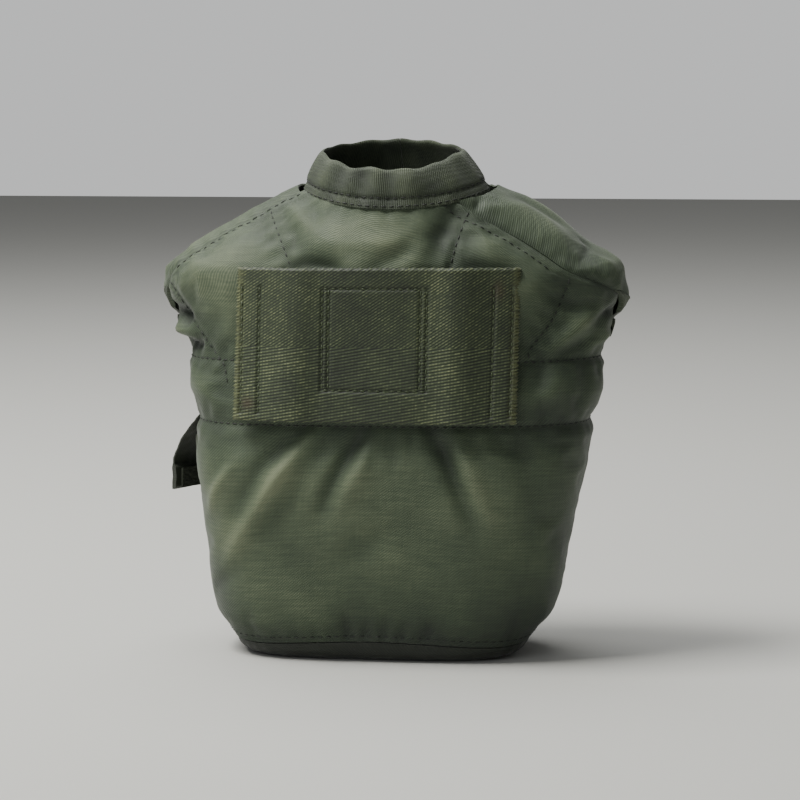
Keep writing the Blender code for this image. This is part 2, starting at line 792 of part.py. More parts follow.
def main():
    clear_scene()
    make_panels()
    make_base()
    make_collar_back()
    make_closures()
    make_belt_webbing()
    make_pocket()
    make_pocket_flap()


main()
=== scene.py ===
import math
import random

import bmesh
import bpy
import numpy as np
from mathutils import Matrix, Vector, noise
from mathutils.bvhtree import BVHTree


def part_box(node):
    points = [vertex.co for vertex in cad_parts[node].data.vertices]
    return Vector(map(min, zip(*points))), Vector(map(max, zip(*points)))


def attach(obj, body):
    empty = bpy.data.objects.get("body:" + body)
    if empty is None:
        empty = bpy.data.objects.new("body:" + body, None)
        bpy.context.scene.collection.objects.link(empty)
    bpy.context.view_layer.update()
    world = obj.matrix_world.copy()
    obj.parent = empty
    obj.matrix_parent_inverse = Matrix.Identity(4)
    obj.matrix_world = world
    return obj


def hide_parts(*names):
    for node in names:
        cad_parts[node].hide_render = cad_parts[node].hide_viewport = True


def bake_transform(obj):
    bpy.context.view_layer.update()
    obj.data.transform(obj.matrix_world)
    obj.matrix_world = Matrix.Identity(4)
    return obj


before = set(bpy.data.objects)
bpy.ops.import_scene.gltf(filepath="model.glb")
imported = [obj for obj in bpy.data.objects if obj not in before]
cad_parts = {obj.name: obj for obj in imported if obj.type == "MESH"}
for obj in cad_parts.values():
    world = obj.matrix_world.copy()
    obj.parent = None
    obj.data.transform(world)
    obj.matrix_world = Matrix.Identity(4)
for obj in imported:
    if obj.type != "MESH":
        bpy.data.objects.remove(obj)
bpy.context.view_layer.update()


def cadSpan(node):  # lowest and highest corner of a CAD piece, in millimetres
    low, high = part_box(node)
    return np.array(low) * 1000, np.array(high) * 1000


baseSpan = cadSpan("base_panel")
backSpan = cadSpan("back_panel")
frontSpan = cadSpan("front_panel")
collarSpan = cadSpan("collar_back")

# the padded body, in millimetres: what the frame can tell comes from it
body = {
    "baseWidth": baseSpan[1][0] - baseSpan[0][0],
    "baseDepth": baseSpan[1][1] - baseSpan[0][1],
    "seamHeight": baseSpan[1][2],
    "shoulderWidth": backSpan[1][0] - backSpan[0][0],
    "shoulderHeight": 137.0,
    "cornerRadius": 12.0,
    "bellyDepth": -2 * backSpan[0][1],
    "bellyHeight": 70.0,
    "shoulderDepth": 68.0,
    "neckWidth": collarSpan[1][0] - collarSpan[0][0],
    "neckDepth": -2 * collarSpan[0][1],
    "neckHeight": backSpan[1][2],
    "frontTop": frontSpan[1][2],
    "frontSquareness": 2.5,
    "backSquareness": 3.2,
    "shoulderSquareness": 2.0,
    "lean": 0.03,  # the soft body stands a little to the right of upright
    "lift": 2.0,  # the stuffing raises it
    "neckDip": 6.0,  # how far the neck seam sags behind the neck
    "cornerDip": 2.2,  # how far the base seam sinks at the corners
    "cornerTuck": 4.2,  # how far the side's foot is drawn in to the base seam
}

# how far the stuffed sides stand outside or inside the frame, from the base up
sideSwell = {
    "height": [0, 40, 75, 84, 89, 94, 102, 109, 113, 118, 128, 136, 143, 158, 170, 178],
    "left": [-1.0, -1.4, -1.9, -2.4, -4.0, -3.0, -2.4, -2.4, -3.6, -1.4, 1.8, 2.4, 4.0, 5.0, 3.4, 0.0],
    "right": [0.0, 0.6, 1.2, 2.0, 0.2, 1.6, 1.6, 1.2, -0.8, 0.0, 1.6, 2.6, 2.4, 4.6, 3.4, 0.0],
}


def ease(low, high, value):
    share = np.clip((np.asarray(value, float) - low) / (high - low), 0, 1)
    return share * share * (3 - 2 * share)


def mix(a, b, share):
    return a + (b - a) * share


def touchPoint(outside, centre, radius, turn):  # where a line from outside touches a circle
    reach = outside - centre
    angle = math.atan2(reach[1], reach[0]) + turn * math.acos(radius / math.hypot(*reach))
    return centre + np.array([math.cos(angle), math.sin(angle)]) * radius


cornerCentre = np.array([body["shoulderWidth"] / 2 - body["cornerRadius"], body["shoulderHeight"]])
basePoint = np.array([body["baseWidth"] / 2, body["seamHeight"]])
neckPoint = np.array([body["neckWidth"] / 2, body["neckHeight"]])
wallTouch = touchPoint(basePoint, cornerCentre, body["cornerRadius"], 1)
slopeTouch = touchPoint(neckPoint, cornerCentre, body["cornerRadius"], -1)


def halfWidth(z):  # leaning side, round shoulder corner, straight slope to the neck
    z = np.asarray(z, float)
    wall = mix(basePoint[0], wallTouch[0], (z - basePoint[1]) / (wallTouch[1] - basePoint[1]))
    bend = cornerCentre[0] + np.sqrt(np.clip(body["cornerRadius"] ** 2 - (z - cornerCentre[1]) ** 2, 0, None))
    slope = mix(slopeTouch[0], neckPoint[0], (z - slopeTouch[1]) / (neckPoint[1] - slopeTouch[1]))
    return np.where(z < wallTouch[1], wall, np.where(z < slopeTouch[1], bend, slope))


def halfDepth(z):
    belly = mix(body["baseDepth"], body["bellyDepth"], ease(body["seamHeight"], body["bellyHeight"], z))
    shoulder = mix(belly, body["shoulderDepth"], ease(body["bellyHeight"], body["shoulderHeight"], z))
    return mix(shoulder, body["neckDepth"], ease(body["shoulderHeight"], body["neckHeight"], z)) / 2


def squareness(z, front):
    low = np.where(front, body["frontSquareness"], body["backSquareness"])
    return mix(low, body["shoulderSquareness"], ease(body["bellyHeight"], body["shoulderHeight"], z))


def angleAtDepth(y, z):
    y, z = np.broadcast_arrays(np.asarray(y, float), np.asarray(z, float))
    share = np.minimum(1.0, np.abs(y) / halfDepth(z))
    return np.sign(y) * np.arcsin(share ** (squareness(z, y > 0) / 2))


def angleAtWidth(x, z, front):
    share = np.minimum(1.0, np.abs(x) / halfWidth(z))
    turn = np.arccos(share ** (squareness(z, front) / 2))
    turn = np.where(np.asarray(x) < 0, np.pi - turn, turn)
    return turn if front else -turn


def wallPoint(angle, z):  # a point of the wall and its outward normal; 90 degrees is the middle of the front
    angle, z = np.broadcast_arrays(np.asarray(angle, float), np.asarray(z, float))
    width, thick = halfWidth(z), halfDepth(z)
    cosine, sine = np.cos(angle), np.sin(angle)
    n = squareness(z, sine > 0)
    across = np.sign(cosine) * np.abs(cosine) ** (2 / n)
    forward = np.sign(sine) * np.abs(sine) ** (2 / n)
    step = 1.5
    widening = (halfWidth(z + step) - halfWidth(z - step)) / (2 * step)
    thickening = (halfDepth(z + step) - halfDepth(z - step)) / (2 * step)
    normal = np.stack([
        np.sign(across) * np.abs(across) ** (n - 1) / width,
        np.sign(forward) * np.abs(forward) ** (n - 1) / thick,
        -(np.abs(across) ** n * widening / width + np.abs(forward) ** n * thickening / thick),
    ], axis=-1)
    normal /= np.linalg.norm(normal, axis=-1, keepdims=True)
    side = np.where(across < 0, np.interp(z, sideSwell["height"], sideSwell["left"]),
                    np.interp(z, sideSwell["height"], sideSwell["right"]))
    swell = side * np.abs(across) ** 2.5
    swell = swell - body["cornerTuck"] * (1 - ease(body["seamHeight"], 17, z)) * np.abs(across) ** 2
    point = np.stack([across * width + np.sign(across) * swell, forward * thick, z], axis=-1)
    return point, normal


def seamDip(turn, z):  # the neck seam sags behind the neck, and the base seam at the four corners
    behind = np.clip(-np.sin(turn), 0, 1) ** 1.5
    corner = np.abs(np.sin(2 * turn)) - 0.35
    low = body["cornerDip"] * corner * (1 - ease(body["seamHeight"], 26, z))
    return body["neckDip"] * behind * ease(150, body["neckHeight"], z) + low


def onWall(places, front=False):  # (x, z) places on the back or the front, as points of the wall
    x = np.array([p[0] for p in places], float)
    z = np.array([p[1] for p in places], float)
    x = np.clip(x, -0.999 * halfWidth(z), 0.999 * halfWidth(z))
    return wallPoint(angleAtWidth(x, z, front), z)[0]


def along(points, step):  # a line through the points, cut into even steps
    points = np.asarray(points, float)
    reach = np.concatenate([[0], np.cumsum(np.linalg.norm(np.diff(points, axis=0), axis=1))])
    count = max(2, int(round(reach[-1] / step)) + 1)
    at = np.linspace(0, reach[-1], count)
    return np.stack([np.interp(at, reach, points[:, k]) for k in range(3)], axis=1)


def rounded(a, b, c, d, t):  # from b to c in a smooth run that comes from a and goes on to d
    return 0.5 * (2 * b + (c - a) * t + (2 * a - 5 * b + 4 * c - d) * t**2 + (3 * b - a - 3 * c + d) * t**3)


def smoothLine(places, count=24):  # a rounded run through given places
    places = np.asarray(places, float)
    padded = np.vstack([2 * places[0] - places[1], places, 2 * places[-1] - places[-2]])
    made = []
    for k in range(1, len(padded) - 2):
        for t in np.linspace(0, 1, count, endpoint=False):
            made.append(rounded(*padded[k - 1:k + 3], t))
    made.append(places[-1])
    return np.array(made)


def wallLine(places, front=False, step=2.5):
    return along(onWall(smoothLine(places, 8), front), step)


# where the seams and quilting run: (x, z) on the wall, and heights all round
seamBack = {"left": 7.0, "right": 20.0}  # the shoulder seam's distance behind the ridge
quilting = {
    "upperLeft": 110.9,
    "upperRight": 112.0,
    "lowerLeft": 87.4,
    "lowerRight": 88.2,
    "leftGusset": [(-43, 173), (-44.5, 168.8), (-39.5, 157), (-34, 144)],
    "rightGusset": [(33, 175.5), (29.1, 168), (26.3, 158), (23.9, 145)],
    "leftEar": [(-84, 147), (-84.5, 142.5), (-77, 130.4), (-72.2, 122.5), (-66.7, 113.6), (-62.1, 109.5),
                (-59.8, 102)],
    "rightEar": [(71.3, 155), (67.6, 144.8), (61.6, 127), (54.7, 115.6), (57, 110.5)],
}

# folds of the back: a place list, how far they rise or sink, and how wide they are
folds = [
    ([(-22, 87), (-33, 74.4), (-40.2, 63.2), (-48.5, 49.4), (-57, 34)], 1.9, 3.4),
    ([(-27, 88), (-40, 76), (-48, 65), (-56, 52)], -1.3, 4.0),
    ([(-15, 86), (-26, 70), (-35, 55), (-42, 42)], -0.7, 4.5),
    ([(-4, 88), (-11.5, 75.5), (-17.6, 63.2), (-20.5, 53)], -1.9, 3.2),
    ([(0, 88), (-5, 74), (-11, 62), (-14, 52)], 0.8, 3.5),
    ([(20, 88), (27.4, 72.9), (31.3, 63.2), (38, 48)], -1.9, 3.2),
    ([(26, 87), (34, 73), (39, 61), (45, 50)], 1.0, 3.4),
    ([(-54, 74), (-60.9, 63.2), (-64, 53)], 1.1, 2.4),
    ([(47, 84), (55, 70), (58, 55), (57, 38)], -0.9, 5.0),
    ([(4, 49), (-12, 37)], -0.8, 5.0),
    ([(-11, 8), (-10, 20)], -0.7, 2.2),
    ([(22, 8), (21, 17)], -0.7, 2.2),
    ([(54, 8), (52, 20)], -0.9, 2.6),
    ([(-50, 8), (-47, 19)], -0.7, 2.4),
    ([(-5, 146), (6, 152), (17, 161)], -1.3, 3.6),
    ([(26, 172), (20, 160), (17, 148)], -1.5, 4.2),
    ([(-33, 174), (-24, 160)], -1.0, 3.0),
    ([(-30, 148), (-14, 145.5)], -1.6, 3.2),
    ([(28, 147), (50, 145)], -1.6, 3.4),
    ([(68, 108.5), (58, 98)], 1.2, 4.0),
    ([(74, 104), (70, 93)], -0.8, 3.0),
    ([(74, 129), (63, 117)], 1.4, 3.0),
    ([(79, 122), (68, 115.5)], -1.3, 2.6),
    ([(60, 138), (74, 132)], -0.9, 4.0),
    ([(-88, 129.5), (-79, 127), (-75, 124)], -4.2, 3.4),
    ([(-88, 123), (-79, 120.5), (-73, 122)], 1.7, 2.6),
    ([(-85, 118), (-76, 116), (-71, 118)], -2.6, 2.4),
    ([(-78, 106), (-66, 98)], 0.8, 4.5),
    ([(88, 132), (80, 128), (74, 122)], -2.6, 3.0),
    ([(42, 171), (54, 166), (68, 159)], -1.8, 3.0),
]

quilt = {"puff": 2.3, "reach": 13.0, "groove": 0.75, "grooveWidth": 1.5, "pucker": 0.42, "puckerPitch": 7.5}


def seamDepth(side, z):  # the y of the seam between the back and what lies in front of it
    far = seamBack[side]
    if side == "left":
        return -far * ease(126, 146, z)
    return -far * ease(130, 147, z)


def seamAngle(side, z):
    turn = angleAtDepth(seamDepth(side, z) - 0.06, z)
    return turn if side == "right" else -np.pi - turn


def ringLine(lowLeft, lowRight, step=3.0):  # a level line all round the wall
    turn = np.linspace(-np.pi, np.pi, 400)
    tilt = mix(lowLeft, lowRight, (np.cos(turn) + 1) / 2)
    return along(wallPoint(turn, tilt)[0], step)


def neckLine():
    turn = np.linspace(-np.pi, np.pi, 120)
    points = wallPoint(turn, np.full_like(turn, body["neckHeight"]))[0]
    points[:, 2] -= seamDip(turn, body["neckHeight"])
    return points


def seamLine(side, low, high):
    z = np.linspace(low, high, 60)
    return along(wallPoint(seamAngle(side, z), z)[0], 2.5)


quiltLines = [
    ringLine(quilting["upperLeft"], quilting["upperRight"]),
    ringLine(quilting["lowerLeft"], quilting["lowerRight"]),
    ringLine(body["seamHeight"], body["seamHeight"]),
    seamLine("left", 126, body["neckHeight"]),
    seamLine("right", 126, body["neckHeight"]),
    neckLine(),
]
quiltLines += [wallLine(quilting[name]) for name in ("leftGusset", "rightGusset", "leftEar", "rightEar")]
foldLines = [(wallLine(places), rise, width) for places, rise, width in folds]


def nearest(points, line):  # distance of each point to a line, and how far along it the foot lies
    flat = points.reshape(-1, 3)
    best = np.full(len(flat), 1e9)
    foot = np.zeros(len(flat))
    start = 0.0
    for a, b in zip(line[:-1], line[1:]):
        run = b - a
        length = np.linalg.norm(run)
        share = np.clip((flat - a) @ run / length**2, 0, 1)
        gap = np.linalg.norm(flat - a - share[:, None] * run, axis=1)
        closer = gap < best
        best[closer] = gap[closer]
        foot[closer] = start + share[closer] * length
        start += length
    return best.reshape(points.shape[:-1]), foot.reshape(points.shape[:-1]), start


def noiseAt(points, size, shift=0.0):  # smooth noise, its lumps about this many millimetres wide
    flat = points.reshape(-1, 3) / size + shift
    return np.array([noise.noise(Vector(p)) for p in flat]).reshape(points.shape[:-1])


def quiltRelief(points):  # how far the stuffed cloth stands out, and the distance to the next seam
    closest = np.full(points.shape[:-1], 1e9)
    ripple = np.zeros(points.shape[:-1])
    for k, line in enumerate(quiltLines):
        gap, foot, _ = nearest(points, line)
        phase = foot / quilt["puckerPitch"] * 2 * np.pi + 2.2 * np.sin(foot / 17 + k) + k
        near = np.exp(-(gap / 6.5) ** 2) * (1 - np.exp(-(gap / 1.6) ** 2))
        ripple += quilt["pucker"] * np.sin(phase) * near * (0.6 + 0.4 * np.sin(foot / 23 + 2 * k))
        closest = np.minimum(closest, gap)
    rise = quilt["puff"] * (1 - np.exp(-(closest / quilt["reach"]) ** 2))
    rise -= quilt["groove"] * np.exp(-(closest / quilt["grooveWidth"]) ** 2)
    return rise + ripple, closest


def foldRelief(points):
    total = np.zeros(points.shape[:-1])
    for line, rise, width in foldLines:
        gap, foot, length = nearest(points, line)
        share = np.clip(foot / length, 0, 1)
        taper = np.sin(np.pi * np.clip(share * 0.9 + 0.08, 0, 1)) ** 0.8
        total += rise * taper * np.exp(-(gap / width) ** 2)
    return total


def crumple(points):  # soft unevenness everywhere and hard creases at the shoulder corners
    soft = 0.9 * noiseAt(points, 34) + 0.45 * noiseAt(points, 15, 7.3)
    x, z = np.abs(points[..., 0]), points[..., 2]
    ear = np.exp(-((x - 84) / 15) ** 2) * ease(112, 120, z) * (1 - ease(148, 158, z))
    stretched = points * np.array([1.0, 1.0, 2.1])
    creases = 1 - 2.4 * np.abs(noiseAt(stretched, 17, 3.1))
    return soft + 1.3 * ear * creases


def leaned(points):
    moved = np.array(points, float)
    moved[..., 0] += body["lean"] * moved[..., 2]
    moved[..., 2] += body["lift"] * ease(4, 45, moved[..., 2])
    return moved


# meshes from grids of points, in millimetres
def gridFaces(rows, columns, first=0):
    index = first + np.arange(rows * columns).reshape(rows, columns)
    corners = [index[:-1, :-1], index[:-1, 1:], index[1:, 1:], index[1:, :-1]]
    return np.stack(corners, axis=-1).reshape(-1, 4)


def rimFaces(rows, columns, second):  # joins the edges of two grids laid over each other
    index = np.arange(rows * columns).reshape(rows, columns)
    rim = np.concatenate([index[0, :-1], index[:-1, -1], index[-1, :0:-1], index[:0:-1, 0]])
    after = np.roll(rim, -1)
    return np.stack([rim, rim + second, after + second, after], axis=-1)


def volumeOf(points, faces):
    a, b, c, d = (points[faces[:, k]] for k in range(4))
    return float((np.einsum("ij,ij->i", a, np.cross(b, c)) + np.einsum("ij,ij->i", a, np.cross(c, d))).sum())


def makePiece(name, points, faces, uv=None, values=None, finish=None, sharp=60, lean=True):
    if lean:
        points = leaned(points)
    mesh = bpy.data.meshes.new(name)
    mesh.from_pydata((points * 0.001).tolist(), [], [list(f) for f in faces])
    if uv is not None:
        layer = mesh.uv_layers.new(name="cloth")
        loops = np.zeros(len(mesh.loops), np.int32)
        mesh.loops.foreach_get("vertex_index", loops)
        layer.data.foreach_set("uv", uv[loops].astype(np.float32).ravel())
    for key, value in (values or {}).items():
        stored = mesh.attributes.new(key, "FLOAT", "POINT")
        stored.data.foreach_set("value", np.asarray(value, np.float32).ravel())
    mesh.shade_smooth()
    mesh.set_sharp_from_angle(angle=math.radians(sharp))
    if finish:
        mesh.materials.append(finish)
    made = bpy.data.objects.new(name, mesh)
    bpy.context.scene.collection.objects.link(made)
    return made


def plate(name, outer, inner, finish, uv=None, values=None, sharp=60, lean=True):
    rows, columns = outer.shape[:2]
    points = np.concatenate([outer.reshape(-1, 3), inner.reshape(-1, 3)])
    front = gridFaces(rows, columns)
    back = gridFaces(rows, columns, rows * columns)[:, ::-1]
    faces = np.concatenate([front, back, rimFaces(rows, columns, rows * columns)])
    if volumeOf(points, faces) < 0:
        faces = faces[:, ::-1]
    if uv is None:
        uv = arcUv(outer)
    both = np.concatenate([uv.reshape(-1, 2), uv.reshape(-1, 2)])
    doubled = {key: np.concatenate([value.ravel(), value.ravel()]) for key, value in (values or {}).items()}
    return makePiece(name, points, faces, both, doubled, finish, sharp, lean)


def arcUv(grid):  # millimetres across from the middle column, and up from the lowest row
    across = np.linalg.norm(np.diff(grid, axis=1), axis=-1)
    across = np.concatenate([np.zeros((len(grid), 1)), np.cumsum(across, axis=1)], axis=1)
    across -= across[:, grid.shape[1] // 2][:, None]
    up = np.linalg.norm(np.diff(grid, axis=0), axis=-1)
    up = np.concatenate([np.zeros((1, grid.shape[1])), np.cumsum(up, axis=0)], axis=0)
    return np.stack([across, up + grid[0, 0, 2]], axis=-1)


def evenAngles(start, end, z, count):  # angles along a row that lie at even distances
    sample = np.linspace(0, 1, 300)
    turn = mix(start, end, sample)
    points = wallPoint(turn, z)[0]
    reach = np.concatenate([[0], np.cumsum(np.linalg.norm(np.diff(points, axis=0), axis=1))])
    return np.interp(np.linspace(0, reach[-1], count), reach, turn)


# nodes for the materials
def hexColour(code):
    parts = [int(code[k:k + 2], 16) / 255 for k in (1, 3, 5)]
    return tuple(c / 12.92 if c <= 0.04045 else ((c + 0.055) / 1.055) ** 2.4 for c in parts) + (1.0,)


def addNode(tree, kind, settings=None, inputs=None, output=0):  # an input is a value or another node's output
    node = tree.nodes.new(kind)
    for key, value in (settings or {}).items():
        setattr(node, key, value)
    for key, value in (inputs or {}).items():
        if isinstance(value, bpy.types.NodeSocket):
            tree.links.new(value, node.inputs[key])
        else:
            node.inputs[key].default_value = value
    return node.outputs[output]


def newMaterial(name, roughness, metallic=0.0, ior=1.5):
    made = bpy.data.materials.new(name)
    made.use_nodes = True
    shader = made.node_tree.nodes["Principled BSDF"]
    shader.inputs["Roughness"].default_value = roughness
    shader.inputs["Metallic"].default_value = metallic
    if not metallic:
        shader.inputs["IOR"].default_value = ior
    return made, made.node_tree, shader


clothLook = {
    "dark": "#192318",
    "mid": "#2c3926",
    "light": "#48553d",
    # the palest colour of the ramp, which the painted light on the ridges and at the top of the cover reaches
    "paintedLight": "#70785c",
    "twillPitch": 0.8,  # the real lines are 0.5 mm apart, too fine to show
    "twillTurn": 52,
    "slub": 0.9,
    "mottle": 28.0,
}


def oxfordNylon(name, look, paintedReliefShade=1.0):
    # coated nylon twill: fine slanting lines, slubs along both threads, painted light on the ridges and
    # painted shade in the hollows from the relief attribute, and a soft sheen
    made, tree, shader = newMaterial(name, 0.72, ior=1.53)
    wave = {"wave_type": "BANDS", "bands_direction": "X"}
    uv = addNode(tree, "ShaderNodeUVMap", {"uv_map": "cloth"})
    turned = addNode(tree, "ShaderNodeMapping", None,
                     {"Vector": uv, "Rotation": (0, 0, math.radians(look["twillTurn"]))})
    crossed = addNode(tree, "ShaderNodeMapping", None,
                      {"Vector": uv, "Rotation": (0, 0, math.radians(look["twillTurn"] + 90))})
    twill = addNode(tree, "ShaderNodeTexWave", wave,
                    {"Vector": turned, "Scale": math.pi / 10 / look["twillPitch"], "Distortion": 0.9,
                     "Detail": 1.0, "Detail Scale": 1.5}, 1)
    thread = addNode(tree, "ShaderNodeTexWave", wave,
                     {"Vector": crossed, "Scale": math.pi / 8 / look["twillPitch"], "Distortion": 1.2,
                      "Detail": 1.0, "Detail Scale": 1.5}, 1)
    warp = addNode(tree, "ShaderNodeMapping", None, {"Vector": uv, "Scale": (1 / look["slub"], 1 / 11, 1)})
    weft = addNode(tree, "ShaderNodeMapping", None, {"Vector": uv, "Scale": (1 / 13, 1 / look["slub"], 1)})
    warpSlub = addNode(tree, "ShaderNodeTexNoise", None, {"Vector": warp, "Scale": 1.0, "Detail": 2.0})
    weftSlub = addNode(tree, "ShaderNodeTexNoise", None, {"Vector": weft, "Scale": 1.0, "Detail": 2.0})
    mottle = addNode(tree, "ShaderNodeTexNoise", None,
                     {"Vector": uv, "Scale": 1 / look["mottle"], "Detail": 4.0, "Roughness": 0.6})
    relief = addNode(tree, "ShaderNodeAttribute", {"attribute_name": "relief"}, output=2)
    slubs = addNode(tree, "ShaderNodeMath", {"operation": "MULTIPLY_ADD"}, {0: warpSlub, 1: 0.4, 2: weftSlub})
    tone = addNode(tree, "ShaderNodeMath", {"operation": "MULTIPLY_ADD"}, {0: slubs, 1: 0.30, 2: -0.05})
    # the relief term is painted light and shade: ridges lighter, hollows darker
    for source, amount in ((mottle, 0.5), (relief, 0.10 * paintedReliefShade), (twill, 0.20), (thread, 0.05)):
        tone = addNode(tree, "ShaderNodeMath", {"operation": "MULTIPLY_ADD"}, {0: source, 1: amount, 2: tone})
    ramp = addNode(tree, "ShaderNodeValToRGB", None, {"Fac": tone})
    stops = ramp.node.color_ramp.elements
    stops[0].position, stops[0].color = 0.2, hexColour(look["dark"])
    stops[1].position, stops[1].color = 1.0, hexColour(look["paintedLight"])
    for place, key in ((0.46, "mid"), (0.72, "light")):
        stop = stops.new(place)
        stop.color = hexColour(look[key])
    tree.links.new(ramp, shader.inputs["Base Color"])
    rough = addNode(tree, "ShaderNodeMath", {"operation": "MULTIPLY_ADD"}, {0: mottle, 1: 0.22, 2: 0.54})
    tree.links.new(rough, shader.inputs["Roughness"])
    shader.inputs["Sheen Weight"].default_value = 0.16
    shader.inputs["Sheen Roughness"].default_value = 0.45
    height = addNode(tree, "ShaderNodeMath", {"operation": "MULTIPLY"}, {0: twill, 1: 0.8})
    height = addNode(tree, "ShaderNodeMath", {"operation": "MULTIPLY_ADD"}, {0: slubs, 1: 0.6, 2: height})
    height = addNode(tree, "ShaderNodeMath", {"operation": "MULTIPLY_ADD"}, {0: thread, 1: 0.35, 2: height})
    bump = addNode(tree, "ShaderNodeBump", None, {"Strength": 0.7, "Distance": 0.0001, "Height": height})
    tree.links.new(bump, shader.inputs["Normal"])
    return made


webbingLook = {
    "gap": "#0f150b",
    "dark": "#28321c",
    "mid": "#434f2f",
    "light": "#8b9166",
    "edge": "#676c41",
    "stain": "#3a2c16",
}


def wovenNylon(name, look):
    # woven nylon webbing: light floats over dark gaps, paler and hairier at its cut ends
    made, tree, shader = newMaterial(name, 0.6, ior=1.53)
    uv = addNode(tree, "ShaderNodeUVMap", {"uv_map": "cloth"})
    weave = addNode(tree, "ShaderNodeAttribute", {"attribute_name": "weave"}, output=2)
    fray = addNode(tree, "ShaderNodeAttribute", {"attribute_name": "fray"}, output=2)
    stain = addNode(tree, "ShaderNodeAttribute", {"attribute_name": "stain"}, output=2)
    grain = addNode(tree, "ShaderNodeTexNoise", None, {"Vector": uv, "Scale": 1.1, "Detail": 3.0})
    mottle = addNode(tree, "ShaderNodeTexNoise", None, {"Vector": uv, "Scale": 1 / 13, "Detail": 3.0})
    tone = addNode(tree, "ShaderNodeMath", {"operation": "MULTIPLY_ADD"}, {0: grain, 1: 0.3, 2: weave})
    tone = addNode(tree, "ShaderNodeMath", {"operation": "MULTIPLY_ADD"}, {0: mottle, 1: 0.5, 2: tone})
    tone = addNode(tree, "ShaderNodeMath", {"operation": "SUBTRACT"}, {0: tone, 1: 0.4})
    ramp = addNode(tree, "ShaderNodeValToRGB", None, {"Fac": tone})
    stops = ramp.node.color_ramp.elements
    stops[0].position, stops[0].color = 0.1, hexColour(look["gap"])
    stops[1].position, stops[1].color = 1.0, hexColour(look["light"])
    for place, key in ((0.38, "dark"), (0.68, "mid")):
        stop = stops.new(place)
        stop.color = hexColour(look[key])
    paler = addNode(tree, "ShaderNodeMath", {"operation": "MULTIPLY"}, {0: fray, 1: 0.5})
    colour = ramp
    for share, key in ((paler, "edge"), (stain, "stain")):
        colour = addNode(tree, "ShaderNodeMix", {"data_type": "RGBA"},
                         {0: share, 6: colour, 7: hexColour(look[key])}, 2)
    tree.links.new(colour, shader.inputs["Base Color"])
    fibre = addNode(tree, "ShaderNodeTexNoise", None, {"Vector": uv, "Scale": 3.2, "Detail": 2.0})
    bump = addNode(tree, "ShaderNodeBump", None, {"Strength": 0.6, "Distance": 0.00015, "Height": fibre})
    tree.links.new(bump, shader.inputs["Normal"])
    shader.inputs["Sheen Weight"].default_value = 0.12
    return made


tapeLook = {"dark": "#1a2216", "mid": "#2e3825", "light": "#505940", "ribPitch": 0.8}


def ribbedTape(name, look):
    # woven nylon tape: fine upright ribs; the relief attribute makes it paler on its folds and bulges and
    # darker in its dents and grooves, as painted light and shade
    made, tree, shader = newMaterial(name, 0.66, ior=1.53)
    wave = {"wave_type": "BANDS", "bands_direction": "X"}
    uv = addNode(tree, "ShaderNodeUVMap", {"uv_map": "cloth"})
    rib = addNode(tree, "ShaderNodeTexWave", wave,
                  {"Vector": uv, "Scale": math.pi / 10 / look["ribPitch"], "Distortion": 0.35,
                   "Detail": 1.0, "Detail Scale": 1.5}, 1)
    turned = addNode(tree, "ShaderNodeMapping", None, {"Vector": uv, "Rotation": (0, 0, math.pi / 2)})
    weft = addNode(tree, "ShaderNodeTexWave", wave,
                   {"Vector": turned, "Scale": math.pi / 7 / look["ribPitch"], "Distortion": 1.0,
                    "Detail": 1.0, "Detail Scale": 1.5}, 1)
    relief = addNode(tree, "ShaderNodeAttribute", {"attribute_name": "relief"}, output=2)
    mottle = addNode(tree, "ShaderNodeTexNoise", None,
                     {"Vector": uv, "Scale": 1 / 9, "Detail": 4.0, "Roughness": 0.6})
    tone = addNode(tree, "ShaderNodeMath", {"operation": "MULTIPLY"}, {0: rib, 1: 0.28})
    # the relief term is painted light and shade
    for source, amount in ((mottle, 0.75), (relief, 0.14), (weft, 0.1)):
        tone = addNode(tree, "ShaderNodeMath", {"operation": "MULTIPLY_ADD"}, {0: source, 1: amount, 2: tone})
    ramp = addNode(tree, "ShaderNodeValToRGB", None, {"Fac": tone})
    stops = ramp.node.color_ramp.elements
    stops[0].position, stops[0].color = 0.22, hexColour(look["dark"])
    stops[1].position, stops[1].color = 0.98, hexColour(look["light"])
    stop = stops.new(0.58)
    stop.color = hexColour(look["mid"])
    tree.links.new(ramp, shader.inputs["Base Color"])
    height = addNode(tree, "ShaderNodeMath", {"operation": "MULTIPLY_ADD"}, {0: weft, 1: 0.4, 2: rib})
    bump = addNode(tree, "ShaderNodeBump", None, {"Strength": 0.7, "Distance": 0.00014, "Height": height})
    tree.links.new(bump, shader.inputs["Normal"])
    shader.inputs["Sheen Weight"].default_value = 0.12
    return made


def acrylicPile(name):
    # knitted acrylic pile: grey tufts that lie this way and that, with no shine
    made, tree, shader = newMaterial(name, 0.97, ior=1.45)
    place = addNode(tree, "ShaderNodeTexCoord", output=3)
    tuft = addNode(tree, "ShaderNodeTexNoise", None,
                   {"Vector": place, "Scale": 620.0, "Detail": 4.0, "Roughness": 0.7})
    clump = addNode(tree, "ShaderNodeTexVoronoi", None, {"Vector": place, "Scale": 330.0})
    tone = addNode(tree, "ShaderNodeMath", {"operation": "MULTIPLY"}, {0: clump, 1: 0.5})
    tone = addNode(tree, "ShaderNodeMath", {"operation": "MULTIPLY_ADD"}, {0: tuft, 1: 0.8, 2: tone})
    ramp = addNode(tree, "ShaderNodeValToRGB", None, {"Fac": tone})
    stops = ramp.node.color_ramp.elements
    stops[0].position, stops[0].color = 0.3, hexColour("#3c3f39")
    stops[1].position, stops[1].color = 0.9, hexColour("#8e9087")
    tree.links.new(ramp, shader.inputs["Base Color"])
    bump = addNode(tree, "ShaderNodeBump", None, {"Strength": 1.0, "Distance": 0.0008, "Height": tone})
    tree.links.new(bump, shader.inputs["Normal"])
    shader.inputs["Sheen Weight"].default_value = 0.35
    return made


